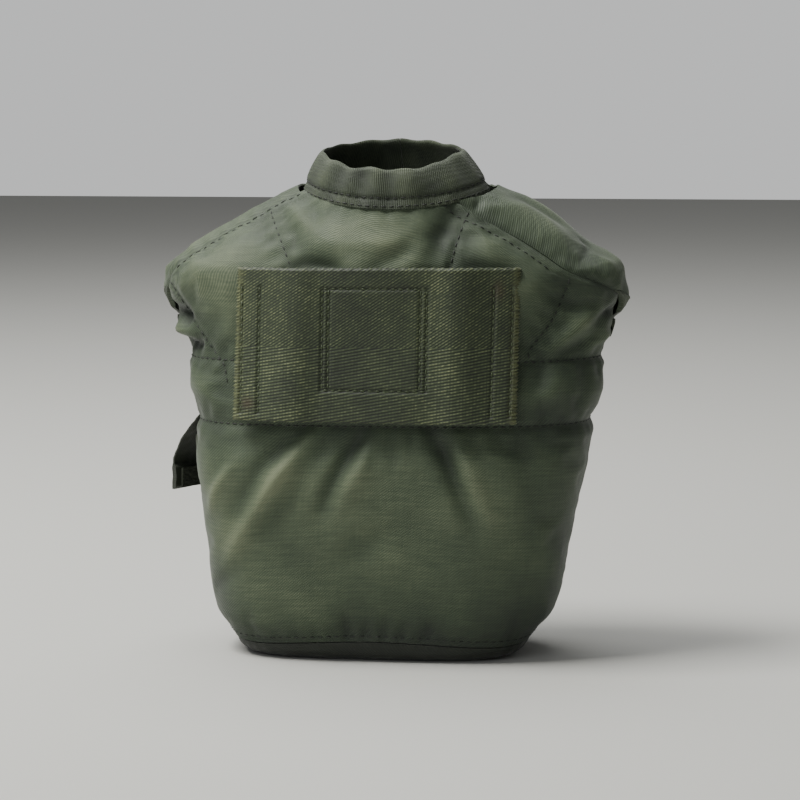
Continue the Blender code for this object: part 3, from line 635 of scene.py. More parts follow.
def polyesterThread(name, code):
    # twisted polyester thread: a fine slant and a dull gloss
    made, tree, shader = newMaterial(name, 0.55, ior=1.56)
    place = addNode(tree, "ShaderNodeTexCoord", output=3)
    fuzz = addNode(tree, "ShaderNodeTexNoise", None, {"Vector": place, "Scale": 900.0, "Detail": 2.0})
    first = hexColour(code)
    second = tuple(c * 1.9 for c in first[:3]) + (1.0,)
    colour = addNode(tree, "ShaderNodeMix", {"data_type": "RGBA"}, {0: fuzz, 6: first, 7: second}, 2)
    tree.links.new(colour, shader.inputs["Base Color"])
    bump = addNode(tree, "ShaderNodeBump", None, {"Strength": 0.5, "Distance": 0.0001, "Height": fuzz})
    tree.links.new(bump, shader.inputs["Normal"])
    return made


def blackenedBrass(name):
    # pressed brass with a baked black coat: dull black that wears to a warm shine at the rims
    made, tree, shader = newMaterial(name, 0.42, 0.75)
    place = addNode(tree, "ShaderNodeTexCoord", output=3)
    scuff = addNode(tree, "ShaderNodeTexNoise", None,
                    {"Vector": place, "Scale": 420.0, "Detail": 5.0, "Roughness": 0.65})
    ramp = addNode(tree, "ShaderNodeValToRGB", None, {"Fac": scuff})
    stops = ramp.node.color_ramp.elements
    stops[0].position, stops[0].color = 0.6, hexColour("#1b1b19")
    stops[1].position, stops[1].color = 0.9, hexColour("#54472c")
    tree.links.new(ramp, shader.inputs["Base Color"])
    rough = addNode(tree, "ShaderNodeMath", {"operation": "MULTIPLY_ADD"}, {0: scuff, 1: 0.3, 2: 0.28})
    tree.links.new(rough, shader.inputs["Roughness"])
    bump = addNode(tree, "ShaderNodeBump", None, {"Strength": 0.25, "Distance": 0.0001, "Height": scuff})
    tree.links.new(bump, shader.inputs["Normal"])
    return made


def hookTape(name, code):
    # moulded nylon hooks or loops: a dense dark fuzz
    made, tree, shader = newMaterial(name, 0.85, ior=1.53)
    place = addNode(tree, "ShaderNodeTexCoord", output=3)
    hooks = addNode(tree, "ShaderNodeTexVoronoi", None, {"Vector": place, "Scale": 900.0})
    dark = hexColour(code)
    light = tuple(c * 2.6 for c in dark[:3]) + (1.0,)
    colour = addNode(tree, "ShaderNodeMix", {"data_type": "RGBA"}, {0: hooks, 6: light, 7: dark}, 2)
    tree.links.new(colour, shader.inputs["Base Color"])
    bump = addNode(tree, "ShaderNodeBump", None, {"Strength": 1.0, "Distance": 0.0005, "Height": hooks})
    tree.links.new(bump, shader.inputs["Normal"])
    return made


shellCloth = oxfordNylon("shellNylonTwill", clothLook)
# a darker copy of the shell cloth: painted shade for the shadow the base band lies in
shadedBaseCloth = oxfordNylon("baseNylonTwillShaded", dict(clothLook, dark="#0d110b", mid="#161c14", light="#232a1e",
                                              paintedLight="#485039"))
# a darker copy of the shell cloth: painted shade for the shadow the pocket flap's inner face lies in
shadedFlapCloth = oxfordNylon("flapNylonTwillShaded", dict(clothLook, dark="#0b0e08", mid="#161d10", light="#252c1a",
                                              paintedLight="#4b5036"))
beltNylon = wovenNylon("beltNylonWebbing", webbingLook)
strapNylon = wovenNylon("strapNylonWebbing", dict(webbingLook, light="#747954", mid="#3d472c"))
collarTape = ribbedTape("ribbedNylonTape", tapeLook)
pileLining = acrylicPile("acrylicPileLining")
seamThread = polyesterThread("darkPolyesterThread", "#11150f")
webbingThread = polyesterThread("webbingPolyesterThread", "#363f28")
snapBrass = blackenedBrass("blackenedBrass")
hookNylon = hookTape("hookAndLoopNylon", "#161a10")
print("materials ready")


panelLook = {
    "cell": 1.15,
    "frontCell": 1.3,
    "bottom": body["seamHeight"] + 0.4,
    "thickness": 0.7,
    "foldShare": 1.3,
}

# one cloth simulation for each panel, from a coarse grid; the result is only how far the cloth moves outwards
clothRun = {"cell": 2.6, "frames": 22, "spare": 0.045, "pressure": 1.2, "bending": 1.6, "quality": 5,
            "share": 0.5, "sunk": -0.8, "raised": 0.9}


def simulated(name, points, normals, hold):
    rows, columns = points.shape[:2]
    unit = 0.01  # one simulation metre is 100 mm, where the solver's own values suit cloth
    mesh = bpy.data.meshes.new(name)
    mesh.from_pydata((points.reshape(-1, 3) * unit).tolist(), [], gridFaces(rows, columns).tolist())
    made = bpy.data.objects.new(name, mesh)
    bpy.context.scene.collection.objects.link(made)
    pins = made.vertex_groups.new(name="pins")
    for k, weight in enumerate(hold.ravel()):
        pins.add([k], float(weight), "REPLACE")
    cloth = made.modifiers.new("cloth", "CLOTH")
    run = cloth.settings
    run.quality = clothRun["quality"]
    run.mass = 0.15
    run.tension_stiffness = 12
    run.compression_stiffness = 12
    run.shear_stiffness = 4
    run.bending_stiffness = clothRun["bending"]
    run.air_damping = 4
    run.vertex_group_mass = "pins"
    run.pin_stiffness = 1.0
    run.shrink_min = -clothRun["spare"]
    run.use_pressure = True
    run.uniform_pressure_force = clothRun["pressure"]
    run.effector_weights.gravity = 0
    cloth.collision_settings.use_self_collision = False
    cloth.point_cache.frame_start = 1
    cloth.point_cache.frame_end = clothRun["frames"]
    for step in range(1, clothRun["frames"] + 1):
        bpy.context.scene.frame_set(step)
    moved = made.evaluated_get(bpy.context.evaluated_depsgraph_get()).to_mesh()
    found = np.zeros(rows * columns * 3, np.float32)
    moved.vertices.foreach_get("co", found)
    bpy.data.objects.remove(made)
    bpy.data.meshes.remove(mesh)
    bpy.context.scene.frame_set(1)
    shift = found.reshape(rows, columns, 3) / unit - points
    return np.einsum("ijk,ijk->ij", shift, normals)


def finer(values, rows, columns):  # a grid of values at more rows and columns, smoothly in between
    def stretch(data, count):
        at = np.linspace(0, len(data) - 1, count)
        k = np.clip(at.astype(int), 0, len(data) - 2)
        t = (at - k)[:, None]
        return rounded(*(data[np.clip(k + shift, 0, len(data) - 1)] for shift in (-1, 0, 1, 2)), t)

    return stretch(stretch(values, rows).T, columns).T


def wallPanel(name, low, high, start, end, cell):
    # a panel of the wall from height low to high, between two angles that depend on the height
    def layout(size):
        middle = (low + high) / 2
        angles = evenAngles(start(middle), end(middle), middle, 60)
        reach = np.linalg.norm(np.diff(wallPoint(angles, middle)[0], axis=0), axis=1).sum()
        rows, columns = int((high - low) / size) + 1, int(reach / size) + 1
        z = np.linspace(low, high, rows)
        turn = np.array([evenAngles(start(level), end(level), level, columns) for level in z])
        points, normals = wallPoint(turn, z[:, None])
        points[..., 2] -= seamDip(turn, z[:, None])
        return points, normals

    points, normals = layout(cell)
    relief, closest = quiltRelief(points)
    relief += foldRelief(points) * panelLook["foldShare"]
    relief += crumple(points) * (1 - np.exp(-(closest / 4) ** 2))
    coarse, coarseNormals = layout(clothRun["cell"])
    bulge, gap = quiltRelief(coarse)
    rim = np.zeros(gap.shape, bool)
    rim[0], rim[-1], rim[:, 0], rim[:, -1] = True, True, True, True
    hold = np.where(rim | (gap < clothRun["cell"] * 0.6), 1.0, 0.0)
    stuffed = coarse + coarseNormals * (bulge + foldRelief(coarse))[..., None]
    shift = simulated(name + "Run", stuffed, coarseNormals, hold)
    shift = np.clip((shift - np.median(shift)) * clothRun["share"], clothRun["sunk"], clothRun["raised"])
    # under the webbing the cloth hardly moves
    free = ease(0, 9, np.abs(points[..., 0]) - 52) + ease(0, 9, 84 - points[..., 2])
    free = np.clip(free + ease(0, 6, points[..., 2] - 150) + (points[..., 1] > 0), 0.1, 1)
    relief += finer(shift, *relief.shape) * free * (1 - np.exp(-(closest / 3) ** 2))
    outer = points + normals * relief[..., None]
    inner = outer - normals * panelLook["thickness"]
    return points, relief, outer, inner


def filled(node, slot):  # hides the CAD piece that this one stands for, if there is one; slot is not used
    if node:
        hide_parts(node)


def seated(piece, node, slot, bodyName="cover"):  # for a piece that moves with one body
    filled(node, slot)
    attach(piece, bodyName)
    return piece


def paintedLight(points, relief):  # painted light: lighter on the ridges and at the top of the cover, painted shade in the creases, low down and on the right
    high = 1.0 * ease(100, 160, points[..., 2]) - 1.5 * (1 - ease(20, 105, points[..., 2]))
    return relief + high - 0.9 * ease(-25, 70, points[..., 0])




def makeBack():
    low, high = panelLook["bottom"], body["neckHeight"]
    points, relief, outer, inner = wallPanel(
        "back", low, high, lambda z: seamAngle("left", z), lambda z: seamAngle("right", z), panelLook["cell"])
    # the relief attribute carries painted light and shade into the cloth's colour
    piece = plate("backPanel", outer, inner, shellCloth, values={"relief": paintedLight(points, relief)})
    seated(piece, "back_panel", "shell_cloth")
    print("back panel", outer.shape)
    return piece


def makeFront():
    low, high = panelLook["bottom"], body["frontTop"]

    def start(z):
        return angleAtDepth(seamDepth("right", z) + 0.06, z)

    def end(z):
        return np.pi - angleAtDepth(seamDepth("left", z) + 0.06, z)

    points, relief, outer, inner = wallPanel("front", low, high, start, end, panelLook["frontCell"])
    # the relief attribute carries painted light and shade into the cloth's colour
    piece = plate("frontPanel", outer, inner, shellCloth, values={"relief": paintedLight(points, relief)})
    seated(piece, "front_panel", "shell_cloth")
    print("front panel", outer.shape)
    return piece


backPiece = makeBack()
frontPiece = makeFront()

baseLook = {"rings": 10, "turns": 220, "edge": 6.5}


def makeBase():  # the flat base panel, turned up all round to its seam
    turn = np.linspace(-np.pi, np.pi, baseLook["turns"], endpoint=False)
    seam, normals = wallPoint(turn, np.full_like(turn, body["seamHeight"]))
    seam[:, 2] -= seamDip(turn, body["seamHeight"])
    flat = normals * np.array([1, 1, 0])
    flat /= np.linalg.norm(flat, axis=1, keepdims=True)
    rings = []
    for share in np.linspace(0, 1, baseLook["rings"]):
        drop = np.sin(share * np.pi / 2)
        inset = baseLook["edge"] * (1 - np.cos(share * np.pi / 2)) + 1.0 + 1.2 * share
        ring = seam - flat * (inset * (1 + 0.5 * np.abs(np.cos(turn)) ** 2))[:, None]
        ring[:, 2] = seam[:, 2] * (1 - drop)
        wobble = 0.45 * noiseAt(ring, 13, 4.0) + 0.25 * np.sin(turn * 38 + 2 * np.sin(turn * 5))
        rings.append(ring + flat * (wobble * np.sin(share * np.pi))[:, None])
    centre = rings[-1].mean(axis=0)
    for share in (0.85, 0.6, 0.3):
        ring = mix(centre, rings[-1], share)
        ring[:, 2] = 0.0
        rings.append(ring)
    outer = np.array(rings)
    outer[..., 2] = np.clip(outer[..., 2], 0.0, None)
    rows, columns = outer.shape[:2]
    inner = outer - np.concatenate([np.repeat(flat[None] * 0.9, baseLook["rings"], 0),
                                    np.zeros((3, columns, 3))])
    inner[..., 2] += np.concatenate([np.linspace(0, 1, baseLook["rings"]), np.ones(3)])[:, None] * 0.9
    points = np.concatenate([outer.reshape(-1, 3), inner.reshape(-1, 3),
                             [[centre[0], centre[1], 0.0], [centre[0], centre[1], 0.9]]])
    count = rows * columns
    faces = []
    for j in range(rows - 1):
        for i in range(columns):
            a, b = j * columns + i, j * columns + (i + 1) % columns
            faces.append((a + columns, b + columns, b, a))
            faces.append((a + count, b + count, b + columns + count, a + columns + count))
    last = (rows - 1) * columns
    for i in range(columns):
        after = (i + 1) % columns
        faces.append((i, after, after + count, i + count))
        faces.append((last + after, last + i, 2 * count))
        faces.append((last + i + count, last + after + count, 2 * count + 1))
    uv = np.concatenate([outer.reshape(-1, 3)[:, :2], inner.reshape(-1, 3)[:, :2],
                         [centre[:2], centre[:2]]])
    uv[:count, 1] += np.repeat(np.arange(rows), columns) * 0.4
    # the base in the darker copy of the cloth, painted shade
    piece = makePiece("basePanel", points, faces, uv, {"relief": np.zeros(len(points))}, shadedBaseCloth)
    seated(piece, "base_panel", "shell_cloth")
    print("base panel")


# shoulder flaps: cloth, pile and the tape along the free edge
flapLook = {"bottom": 110.0, "sideBottom": 129.0, "gap": 0.3, "standoff": 1.5, "rows": 64, "columns": 96,
            "thickness": 0.7, "tapeHeight": 9.0, "margin": 1.0}


def flapGrid(name, low, high, rows, columns, margin=0.0):
    sign = -1 if name == "left" else 1
    across = np.linspace(0, 1, columns)[None, :]
    up = np.linspace(0, 1, rows)[:, None]
    z = mix(low(across), high, up) + 0 * across
    start = angleAtDepth(seamDepth(name, z) + 0.15 + margin, z)
    lowStart = angleAtDepth(2.0 + margin, z)
    start = mix(lowStart, start, ease(body["frontTop"], body["frontTop"] + 14, z))
    end = angleAtWidth(flapLook["gap"] / 2, z, True)
    turn = mix(start, end, across)
    if sign < 0:
        turn = np.pi - turn
    points, normals = wallPoint(turn, z)
    return points, normals, turn, z


def flapLow(across):
    return mix(flapLook["sideBottom"], flapLook["bottom"], ease(0.0, 0.45, across))


def flapRelief(points):
    rise, closest = quiltRelief(points)
    return rise + foldRelief(points) + crumple(points) * (1 - np.exp(-(closest / 4) ** 2))


def blended(piece, node, slot):  # for a piece that lies between the cover and a flap: hides its CAD piece and bakes its transform, attached to neither
    filled(node, slot)
    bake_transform(piece)


def makeFlap(name):
    top = body["neckHeight"] - flapLook["margin"]
    points, normals, turn, z = flapGrid(name, flapLow, top, flapLook["rows"], flapLook["columns"])
    relief = flapRelief(points)
    standoff = flapLook["standoff"] * ease(-6, 5, points[..., 1])
    points[..., 2] -= seamDip(turn, z)
    outer = points + normals * (relief + standoff)[..., None]
    inner = outer - normals * flapLook["thickness"]
    uv = np.stack([points[..., 0], points[..., 2] - points[..., 1]], axis=-1)
    # the relief attribute carries painted light and shade into the cloth's colour
    piece = plate(name + "FlapCloth", outer, inner, shellCloth, uv, values={"relief": paintedLight(points, relief)})
    blended(piece, "flap_" + name, "shell_cloth")

    def liningLow(across):
        return body["frontTop"] + 2.4 + 5 * (1 - ease(0.0, 0.3, across))

    points, normals, turn, z = flapGrid(name, liningLow, body["neckHeight"] - 5, 40, 60, margin=3.0)
    relief = np.minimum(0.0, flapRelief(points) - 0.8)
    points[..., 2] -= seamDip(turn, z)
    fuzz = 0.35 * noiseAt(points, 2.6)
    outer = points + normals * (relief - 0.9)[..., None]
    inner = outer - normals * (3.2 + fuzz)[..., None]
    lining = plate(name + "FlapPile", outer, inner, pileLining)
    blended(lining, "flap_lining_" + name, "pile_lining")

    def tapeLow(across):
        return flapLow(across) - 0.6

    columns, rows = 150, 12
    across = np.linspace(0, 1, columns)[None, :]
    up = np.linspace(0, 1, rows)[:, None]
    z = tapeLow(across) + flapLook["tapeHeight"] * up
    start = mix(angleAtDepth(2.0, z), angleAtDepth(seamDepth(name, z) + 0.3, z),
                ease(body["frontTop"], body["frontTop"] + 14, z))
    turn = mix(start, angleAtWidth(flapLook["gap"] / 2, z, True), across)
    if name == "left":
        turn = np.pi - turn
    points, normals = wallPoint(turn, z)
    relief = flapRelief(points)
    thick = 0.8 * (1 - (2 * up - 1) ** 6) + 0 * across
    base = flapLook["standoff"] * ease(-6, 5, points[..., 1]) + relief
    ripple = 0.15 * np.sin(across * 160)
    outer = points + normals * (base + 0.1 + thick + ripple)[..., None]
    inner = points + normals * (base - 0.9)[..., None]
    # painted light and shade: paler along the tape's thick middle, darker at its rolled edges
    tape = plate(name + "FlapTape", outer, inner, collarTape, values={"relief": thick - 0.4})
    blended(tape, "flap_binding_" + name, "edge_tape")
    print(name, "flap")


# the collar: a folded band of ribbed tape, gathered where the seam takes it in
collarLook = {
    "height": 14.0,
    "frontLift": 4.5,  # how much higher its front half stands
    "topWidth": 54.0,
    "topDepth": 46.5,
    "topShift": -2.2,
    "wall": 1.8,
    "split": 5.0,  # where the back half ends, in front of the middle
    "ribPitch": 0.8,
    "ribDepth": 0.05,
    "strip": 3.0,  # the flat strip under its stitched groove
    "backSink": 0.8,  # how far the seam edges reach down behind the cloth
    "frontSink": 3.0,
    "flare": 1.35,  # how far the sides of a deeper seam edge turn out
}


def collarBand(fromAngle, toAngle, columns, sink, rows=34):
    # angle 90 is the front; the band runs from its seam (0) to its fold (1)
    across = np.linspace(0, 1, columns)[None, :]
    up = np.linspace(0, 1, rows)[:, None]
    turn = mix(fromAngle, toAngle, across) + 0 * up
    width = mix(body["neckWidth"], collarLook["topWidth"], up ** 1.2) / 2
    depth = mix(body["neckDepth"], collarLook["topDepth"], up ** 1.2) / 2
    behind = np.clip(-np.sin(turn), 0, 1) ** 1.5
    ahead = np.clip(np.sin(turn), 0, 1) ** 1.2
    top = collarLook["height"] + collarLook["frontLift"] * ahead
    reach = turn * 30
    droop = 1.1 * np.sin(reach / 4.3 + 1.5 * np.sin(reach / 11)) * behind + 0.5 * np.sin(reach / 2.3)
    sideways = np.exp(-((np.abs(np.cos(turn)) - 1) / 0.16) ** 2)
    z = body["neckHeight"] - 1.2 + (top + (droop * 0.55 + 0.8 * sideways) * up ** 2) * up
    z = z - body["neckDip"] * behind * (1 - 0.05 * up) - sink * (1 - ease(0.0, 0.18, up))
    gather = 0.95 * np.sin(reach / 2.1 + 1.2 * np.sin(reach / 9)) * (0.3 + 0.7 * behind)
    gather = gather + 1.5 * behind * np.sin(reach / 6.7 + 0.9) * up
    dent = gather * np.sin(np.clip(up * 1.1, 0, 1) * np.pi) ** 0.7 * 0.55 + gather * 0.5 * up ** 2
    groove = 0.5 * np.exp(-((up * collarLook["height"] - collarLook["strip"]) / 0.8) ** 2)
    bulge = 0.7 * np.sin(np.pi * up) ** 0.8 + 0.6 * (1 - ease(0.0, 0.15, up))
    ribs = collarLook["ribDepth"] * np.cos(reach / collarLook["ribPitch"] * 2 * np.pi)
    deeper = collarLook["flare"] * (sink - collarLook["backSink"])
    flare = deeper * np.abs(np.cos(turn)) * (1 - ease(0.0, 0.2, up))
    out = bulge + dent - groove + ribs + flare
    nearFold = np.clip((up - 0.88) / 0.12, 0, 1)
    rounding = collarLook["wall"] / 2 * (1 - np.sqrt(np.clip(1 - nearFold ** 2, 0, 1)))
    normal = np.stack([np.cos(turn), np.sin(turn), 0.25 + 0 * turn], axis=-1)
    centre = np.stack([width * np.cos(turn) + collarLook["topShift"] * up, depth * np.sin(turn), z], axis=-1)
    outer = centre + normal * (out - rounding)[..., None]
    inner = centre + normal * (out - collarLook["wall"] + rounding - ribs)[..., None]
    # painted light and shade: paler where the gathers stand out and along the fold, darker in the dents and
    # the stitched groove
    relief = dent * 1.2 - groove + 0.9 * ease(0.8, 1.0, up)
    return outer, inner, relief


def makeCollar():
    split = math.asin(collarLook["split"] / (body["neckDepth"] / 2))
    outer, inner, relief = collarBand(-math.pi - split, split, 520, collarLook["backSink"])
    piece = plate("collarBack", outer, inner, collarTape, values={"relief": relief})
    rows = len(outer)
    runs = []
    for height in (0.9, collarLook["strip"] + 0.6):
        row = int(round(height / collarLook["height"] * (rows - 1)))
        line = outer[row]
        away = line * np.array([1, 1, 0])
        runs.append((leaned(line), away / np.linalg.norm(away, axis=1, keepdims=True)))
    seated(sewn("collarStitching", piece, runs, seamThread, seed=6), None, "edge_tape")
    seated(piece, "collar_back", "edge_tape")
    end = math.pi / 2 - (flapLook["gap"] / 2) / (body["neckWidth"] / 2)
    begin = split + 0.012
    for name in ("left", "right"):
        first, last = (begin, end) if name == "right" else (math.pi - begin, math.pi - end)
        outer, inner, relief = collarBand(first, last, 190, collarLook["frontSink"])
        half = plate(name + "CollarFront", outer, inner, collarTape, values={"relief": relief})
        seated(half, "collar_front_" + name, "edge_tape", name + "_flap")
    print("collar")


# heavy belt webbing, woven float by float
beltSpan = cadSpan("belt_webbing")
beltLook = {
    "width": beltSpan[1][0] - beltSpan[0][0],
    "height": beltSpan[1][2] - beltSpan[0][2],
    "bottom": beltSpan[0][2] + 1.6,
    "shift": 1.4,  # its middle, to the right of the frame's
    "thickness": 2.0,
    "rise": 1.5,  # its empty channels lie almost flat
    "ramp": 11.0,
    "boxWidth": 39.0,
    "boxHeight": 37.5,
    "endStitch": 9.5,
    "columnPitch": 1.2,
    "floatPitch": 1.15,
    "ribDepth": 0.24,
    "boxLow": 12.0,
    "boxInset": 2.4,
}


def channelRise(x, look):
    inner, outer = look["boxWidth"] / 2, look["width"] / 2 - look["endStitch"]
    rise = ease(inner, inner + look["ramp"], np.abs(x)) * (1 - ease(outer - look["ramp"], outer, np.abs(x)))
    return look["rise"] * rise


def floats(x, z, look, steep=33.0, flat=11.0, middle=28.0, columns=0.3):
    # light floats that climb to the right, column by column, over dark gaps
    column = np.floor(x / look["columnPitch"])
    inside = x / look["columnPitch"] - column
    slope = np.where(z > middle, math.tan(math.radians(steep)), math.tan(math.radians(flat)))
    climb = slope * (column + 0.5 + (inside - 0.5) * 0.8) * look["columnPitch"]
    phase = (z - middle - climb) / look["floatPitch"]
    ridge = 0.5 + 0.5 * np.cos(2 * np.pi * phase)
    number = np.floor(phase + 0.5)
    chance = np.sin(column * 12.9898 + number * 78.233) * 43758.5453
    chance = chance - np.floor(chance)
    gap = np.sin(np.pi * inside) ** 0.6
    return ridge ** 0.8 * (1 - columns + columns * gap) * (0.72 + 0.28 * chance)


def beltLine(x, z):  # how far back the webbing lies at each place: straight up, clear of the curved cloth
    low, high = beltLook["bottom"], beltLook["bottom"] + beltLook["height"]
    foot = onWall([(v, low) for v in x])[:, 1]
    head = onWall([(v, high) for v in x])[:, 1]
    swell = np.zeros(len(x))
    for share in np.linspace(0.1, 0.9, 9):
        wall = onWall([(v, mix(low, high, share)) for v in x])[:, 1]
        swell = np.maximum(swell, mix(foot, head, share) - wall)
    share = (z - low) / (high - low)
    return mix(foot[None, :], head[None, :], share[:, None]) - swell[None, :]


def stitchDents(x, z, runs, width=0.75):
    total = 0 * x + 0 * z
    for (x0, z0), (x1, z1) in runs:
        dx, dz = x1 - x0, z1 - z0
        share = np.clip(((x - x0) * dx + (z - z0) * dz) / (dx * dx + dz * dz), 0, 1)
        gap = np.hypot(x - x0 - share * dx, z - z0 - share * dz)
        total = np.maximum(total, np.exp(-(gap / width) ** 2))
    return total


def beltStitches():
    half, tall = beltLook["width"] / 2, beltLook["height"]
    runs = []
    for side in (-1, 1):
        for inset in (2.6, beltLook["endStitch"]):
            x = side * (half - inset)
            runs.append(((x, 3.0), (x + side * 0.4, tall - 7.0)))
    wide, high, low = beltLook["boxWidth"] / 2, beltLook["boxHeight"], beltLook["boxLow"]
    for inset in (0.0, beltLook["boxInset"]):
        runs.append(((-wide + inset, low), (-wide + inset, low + high)))
        runs.append(((wide - inset, low), (wide - inset, low + high)))
    runs.append(((-wide, low), (wide, low)))
    runs.append(((-wide, low + high), (wide, low + high)))
    return runs


def makeBelt():
    look = beltLook
    half, tall = look["width"] / 2, look["height"]
    x = np.linspace(-half, half, 290)
    z = np.linspace(0, tall, 210)
    across, up = np.meshgrid(x, z)
    boxed = ease(-26, -12, across) * (1 - ease(12, 26, across))
    weave = floats(across, up, look, columns=0.34) * (1 - 0.10 * boxed)
    pinch = stitchDents(across, up, beltStitches())
    line = beltLine(x, z + look["bottom"])
    soft = 0.5 * np.sin(across / 17 + up / 21) + 0.35 * np.sin(across / 9 - up / 13 + 1)
    rise = channelRise(across, look) + 1.9 + soft * 0.5
    rise -= 0.55 * pinch
    edgeX = ease(0, 1.6, half - np.abs(across))
    edgeZ = ease(0, 0.9, np.minimum(up, tall - up))
    scallop = 0.28 * np.sin(across * 2 * np.pi / 3.4)
    front = rise + look["thickness"] - 0.7 * (1 - edgeX) - 0.6 * (1 - edgeZ) + look["ribDepth"] * weave
    ragged = 0.6 * np.sin(up * 5.0 + 2 * np.sin(up * 0.7)) * (1 - edgeX) * np.sign(across)
    px = across + look["shift"] + ragged * 0.6 + 0.012 * (up - tall / 2)
    pz = look["bottom"] + up + scallop * (ease(tall - 1.5, tall, up) - (1 - ease(0, 1.5, up))) * 0.5
    pz = pz + 0.5 * np.sin(across / 30 + 0.6) * (up / tall - 0.3)
    outer = np.stack([px, line - front, pz], axis=-1)
    inner = np.stack([px, line - rise - 0.12 * weave, pz], axis=-1)
    fray = (1 - ease(0.3, 4.2, half - np.abs(across))) * (0.75 + 0.25 * np.sin(up * 2.1))
    stain = 0.7 * np.exp(-(np.hypot(across + half - 5.5, up - 6.5) / 2.4) ** 2)
    stain = stain + 0.5 * np.exp(-(np.hypot(across - half + 7.5, (up - tall + 8) * 0.6) / 2.2) ** 2)
    # painted shade: darker in the stitch dents (pinch)
    tone = weave * 0.85 + 0.12 - 0.10 * pinch + 0.05 * np.sin(across / 13) - 0.05 * boxed
    # painted shade: darker towards the right
    tone = tone - 0.08 * ease(5, 45, across)
    piece = plate("beltWebbing", outer, inner, beltNylon, uv=np.stack([across, up], axis=-1),
                  values={"weave": tone, "fray": fray, "stain": stain}, lean=False)
    seated(piece, "belt_webbing", "nylon_webbing")
    print("belt webbing")
    return piece


def strip(name, x0, x1, z0, z1, sink, finish, side, thickness=2.0, columns=64, rows=120, weaveAmount=0.22):
    # a length of webbing down the front: sink(z) is how far its inner face stands off the wall
    across = np.linspace(x0, x1, columns)
    up = np.linspace(z0, z1, rows)
    xx, zz = np.meshgrid(across, up)
    turn = angleAtWidth(xx, zz, True)
    points, normals = wallPoint(turn, zz)
    level = points[:, columns // 2, None, :]
    chord = points[:, -1:, :] - points[:, :1, :]
    share = ((points - level) * chord).sum(axis=-1, keepdims=True) / (chord ** 2).sum(axis=-1, keepdims=True)
    folded = (1 - ease(0, 12, np.abs(zz - strapLook["split"])))[..., None]  # webbing folds in a straight line
    points = mix(points, level + chord * share, folded)
    look = {"columnPitch": 1.3, "floatPitch": 1.4}
    weave = floats(xx - x0, zz - z0, look, steep=30, flat=30, middle=0.0)
    edge = ease(0, 0.9, np.minimum(xx - x0, x1 - xx)) * ease(0, 0.7, np.minimum(zz - z0, z1 - zz))
    rise = sink(zz)
    outer = points + normals * (rise + thickness - 0.6 * (1 - edge) + weaveAmount * weave)[..., None]
    inner = points + normals * (rise + 0.15 * (1 - edge))[..., None]
    mirror = np.array([side, 1, 1])
    fray = 1 - ease(0.3, 2.5, np.minimum(zz - z0, z1 - zz))
    uv = np.stack([xx, zz], axis=-1)
    return plate(name, outer * mirror, inner * mirror, finish, uv=uv,
                 values={"weave": weave * 0.75 + 0.18, "fray": fray * 0.6})


strapLook = {"x": 32.0, "width": 25.0, "top": 156.0, "split": 105.2, "bottom": 84.0, "standoff": 4.5,
             "foldStandoff": 3.3, "foldShift": 0.5, "foldGap": 0.35, "tabStandoff": 5.2}


def makeStraps():
    for side, name in ((-1, "left"), (1, "right")):
        x0, x1 = strapLook["x"] - strapLook["width"] / 2, strapLook["x"] + strapLook["width"] / 2
        fold = strapLook["foldStandoff"] - side * strapLook["foldShift"]  # the lean moves it off its hinge

        def strapSink(z):
            return mix(fold, strapLook["standoff"], ease(108, 118, z))

        strap = strip(name + "Strap", x0, x1, strapLook["split"] + strapLook["foldGap"], strapLook["top"],
                      strapSink, strapNylon, side)
        seated(strap, "strap_" + name, "nylon_webbing", name + "_flap")

        def tabSink(z):
            return mix(strapLook["tabStandoff"], fold, ease(94, 103, z))

        tab = strip(name + "SnapTab", x0, x1, strapLook["bottom"], strapLook["split"] - strapLook["foldGap"],
                    tabSink, strapNylon, side, rows=70)
        seated(tab, "snap_tab_" + name, "nylon_webbing", name + "_tab")
    print("straps")


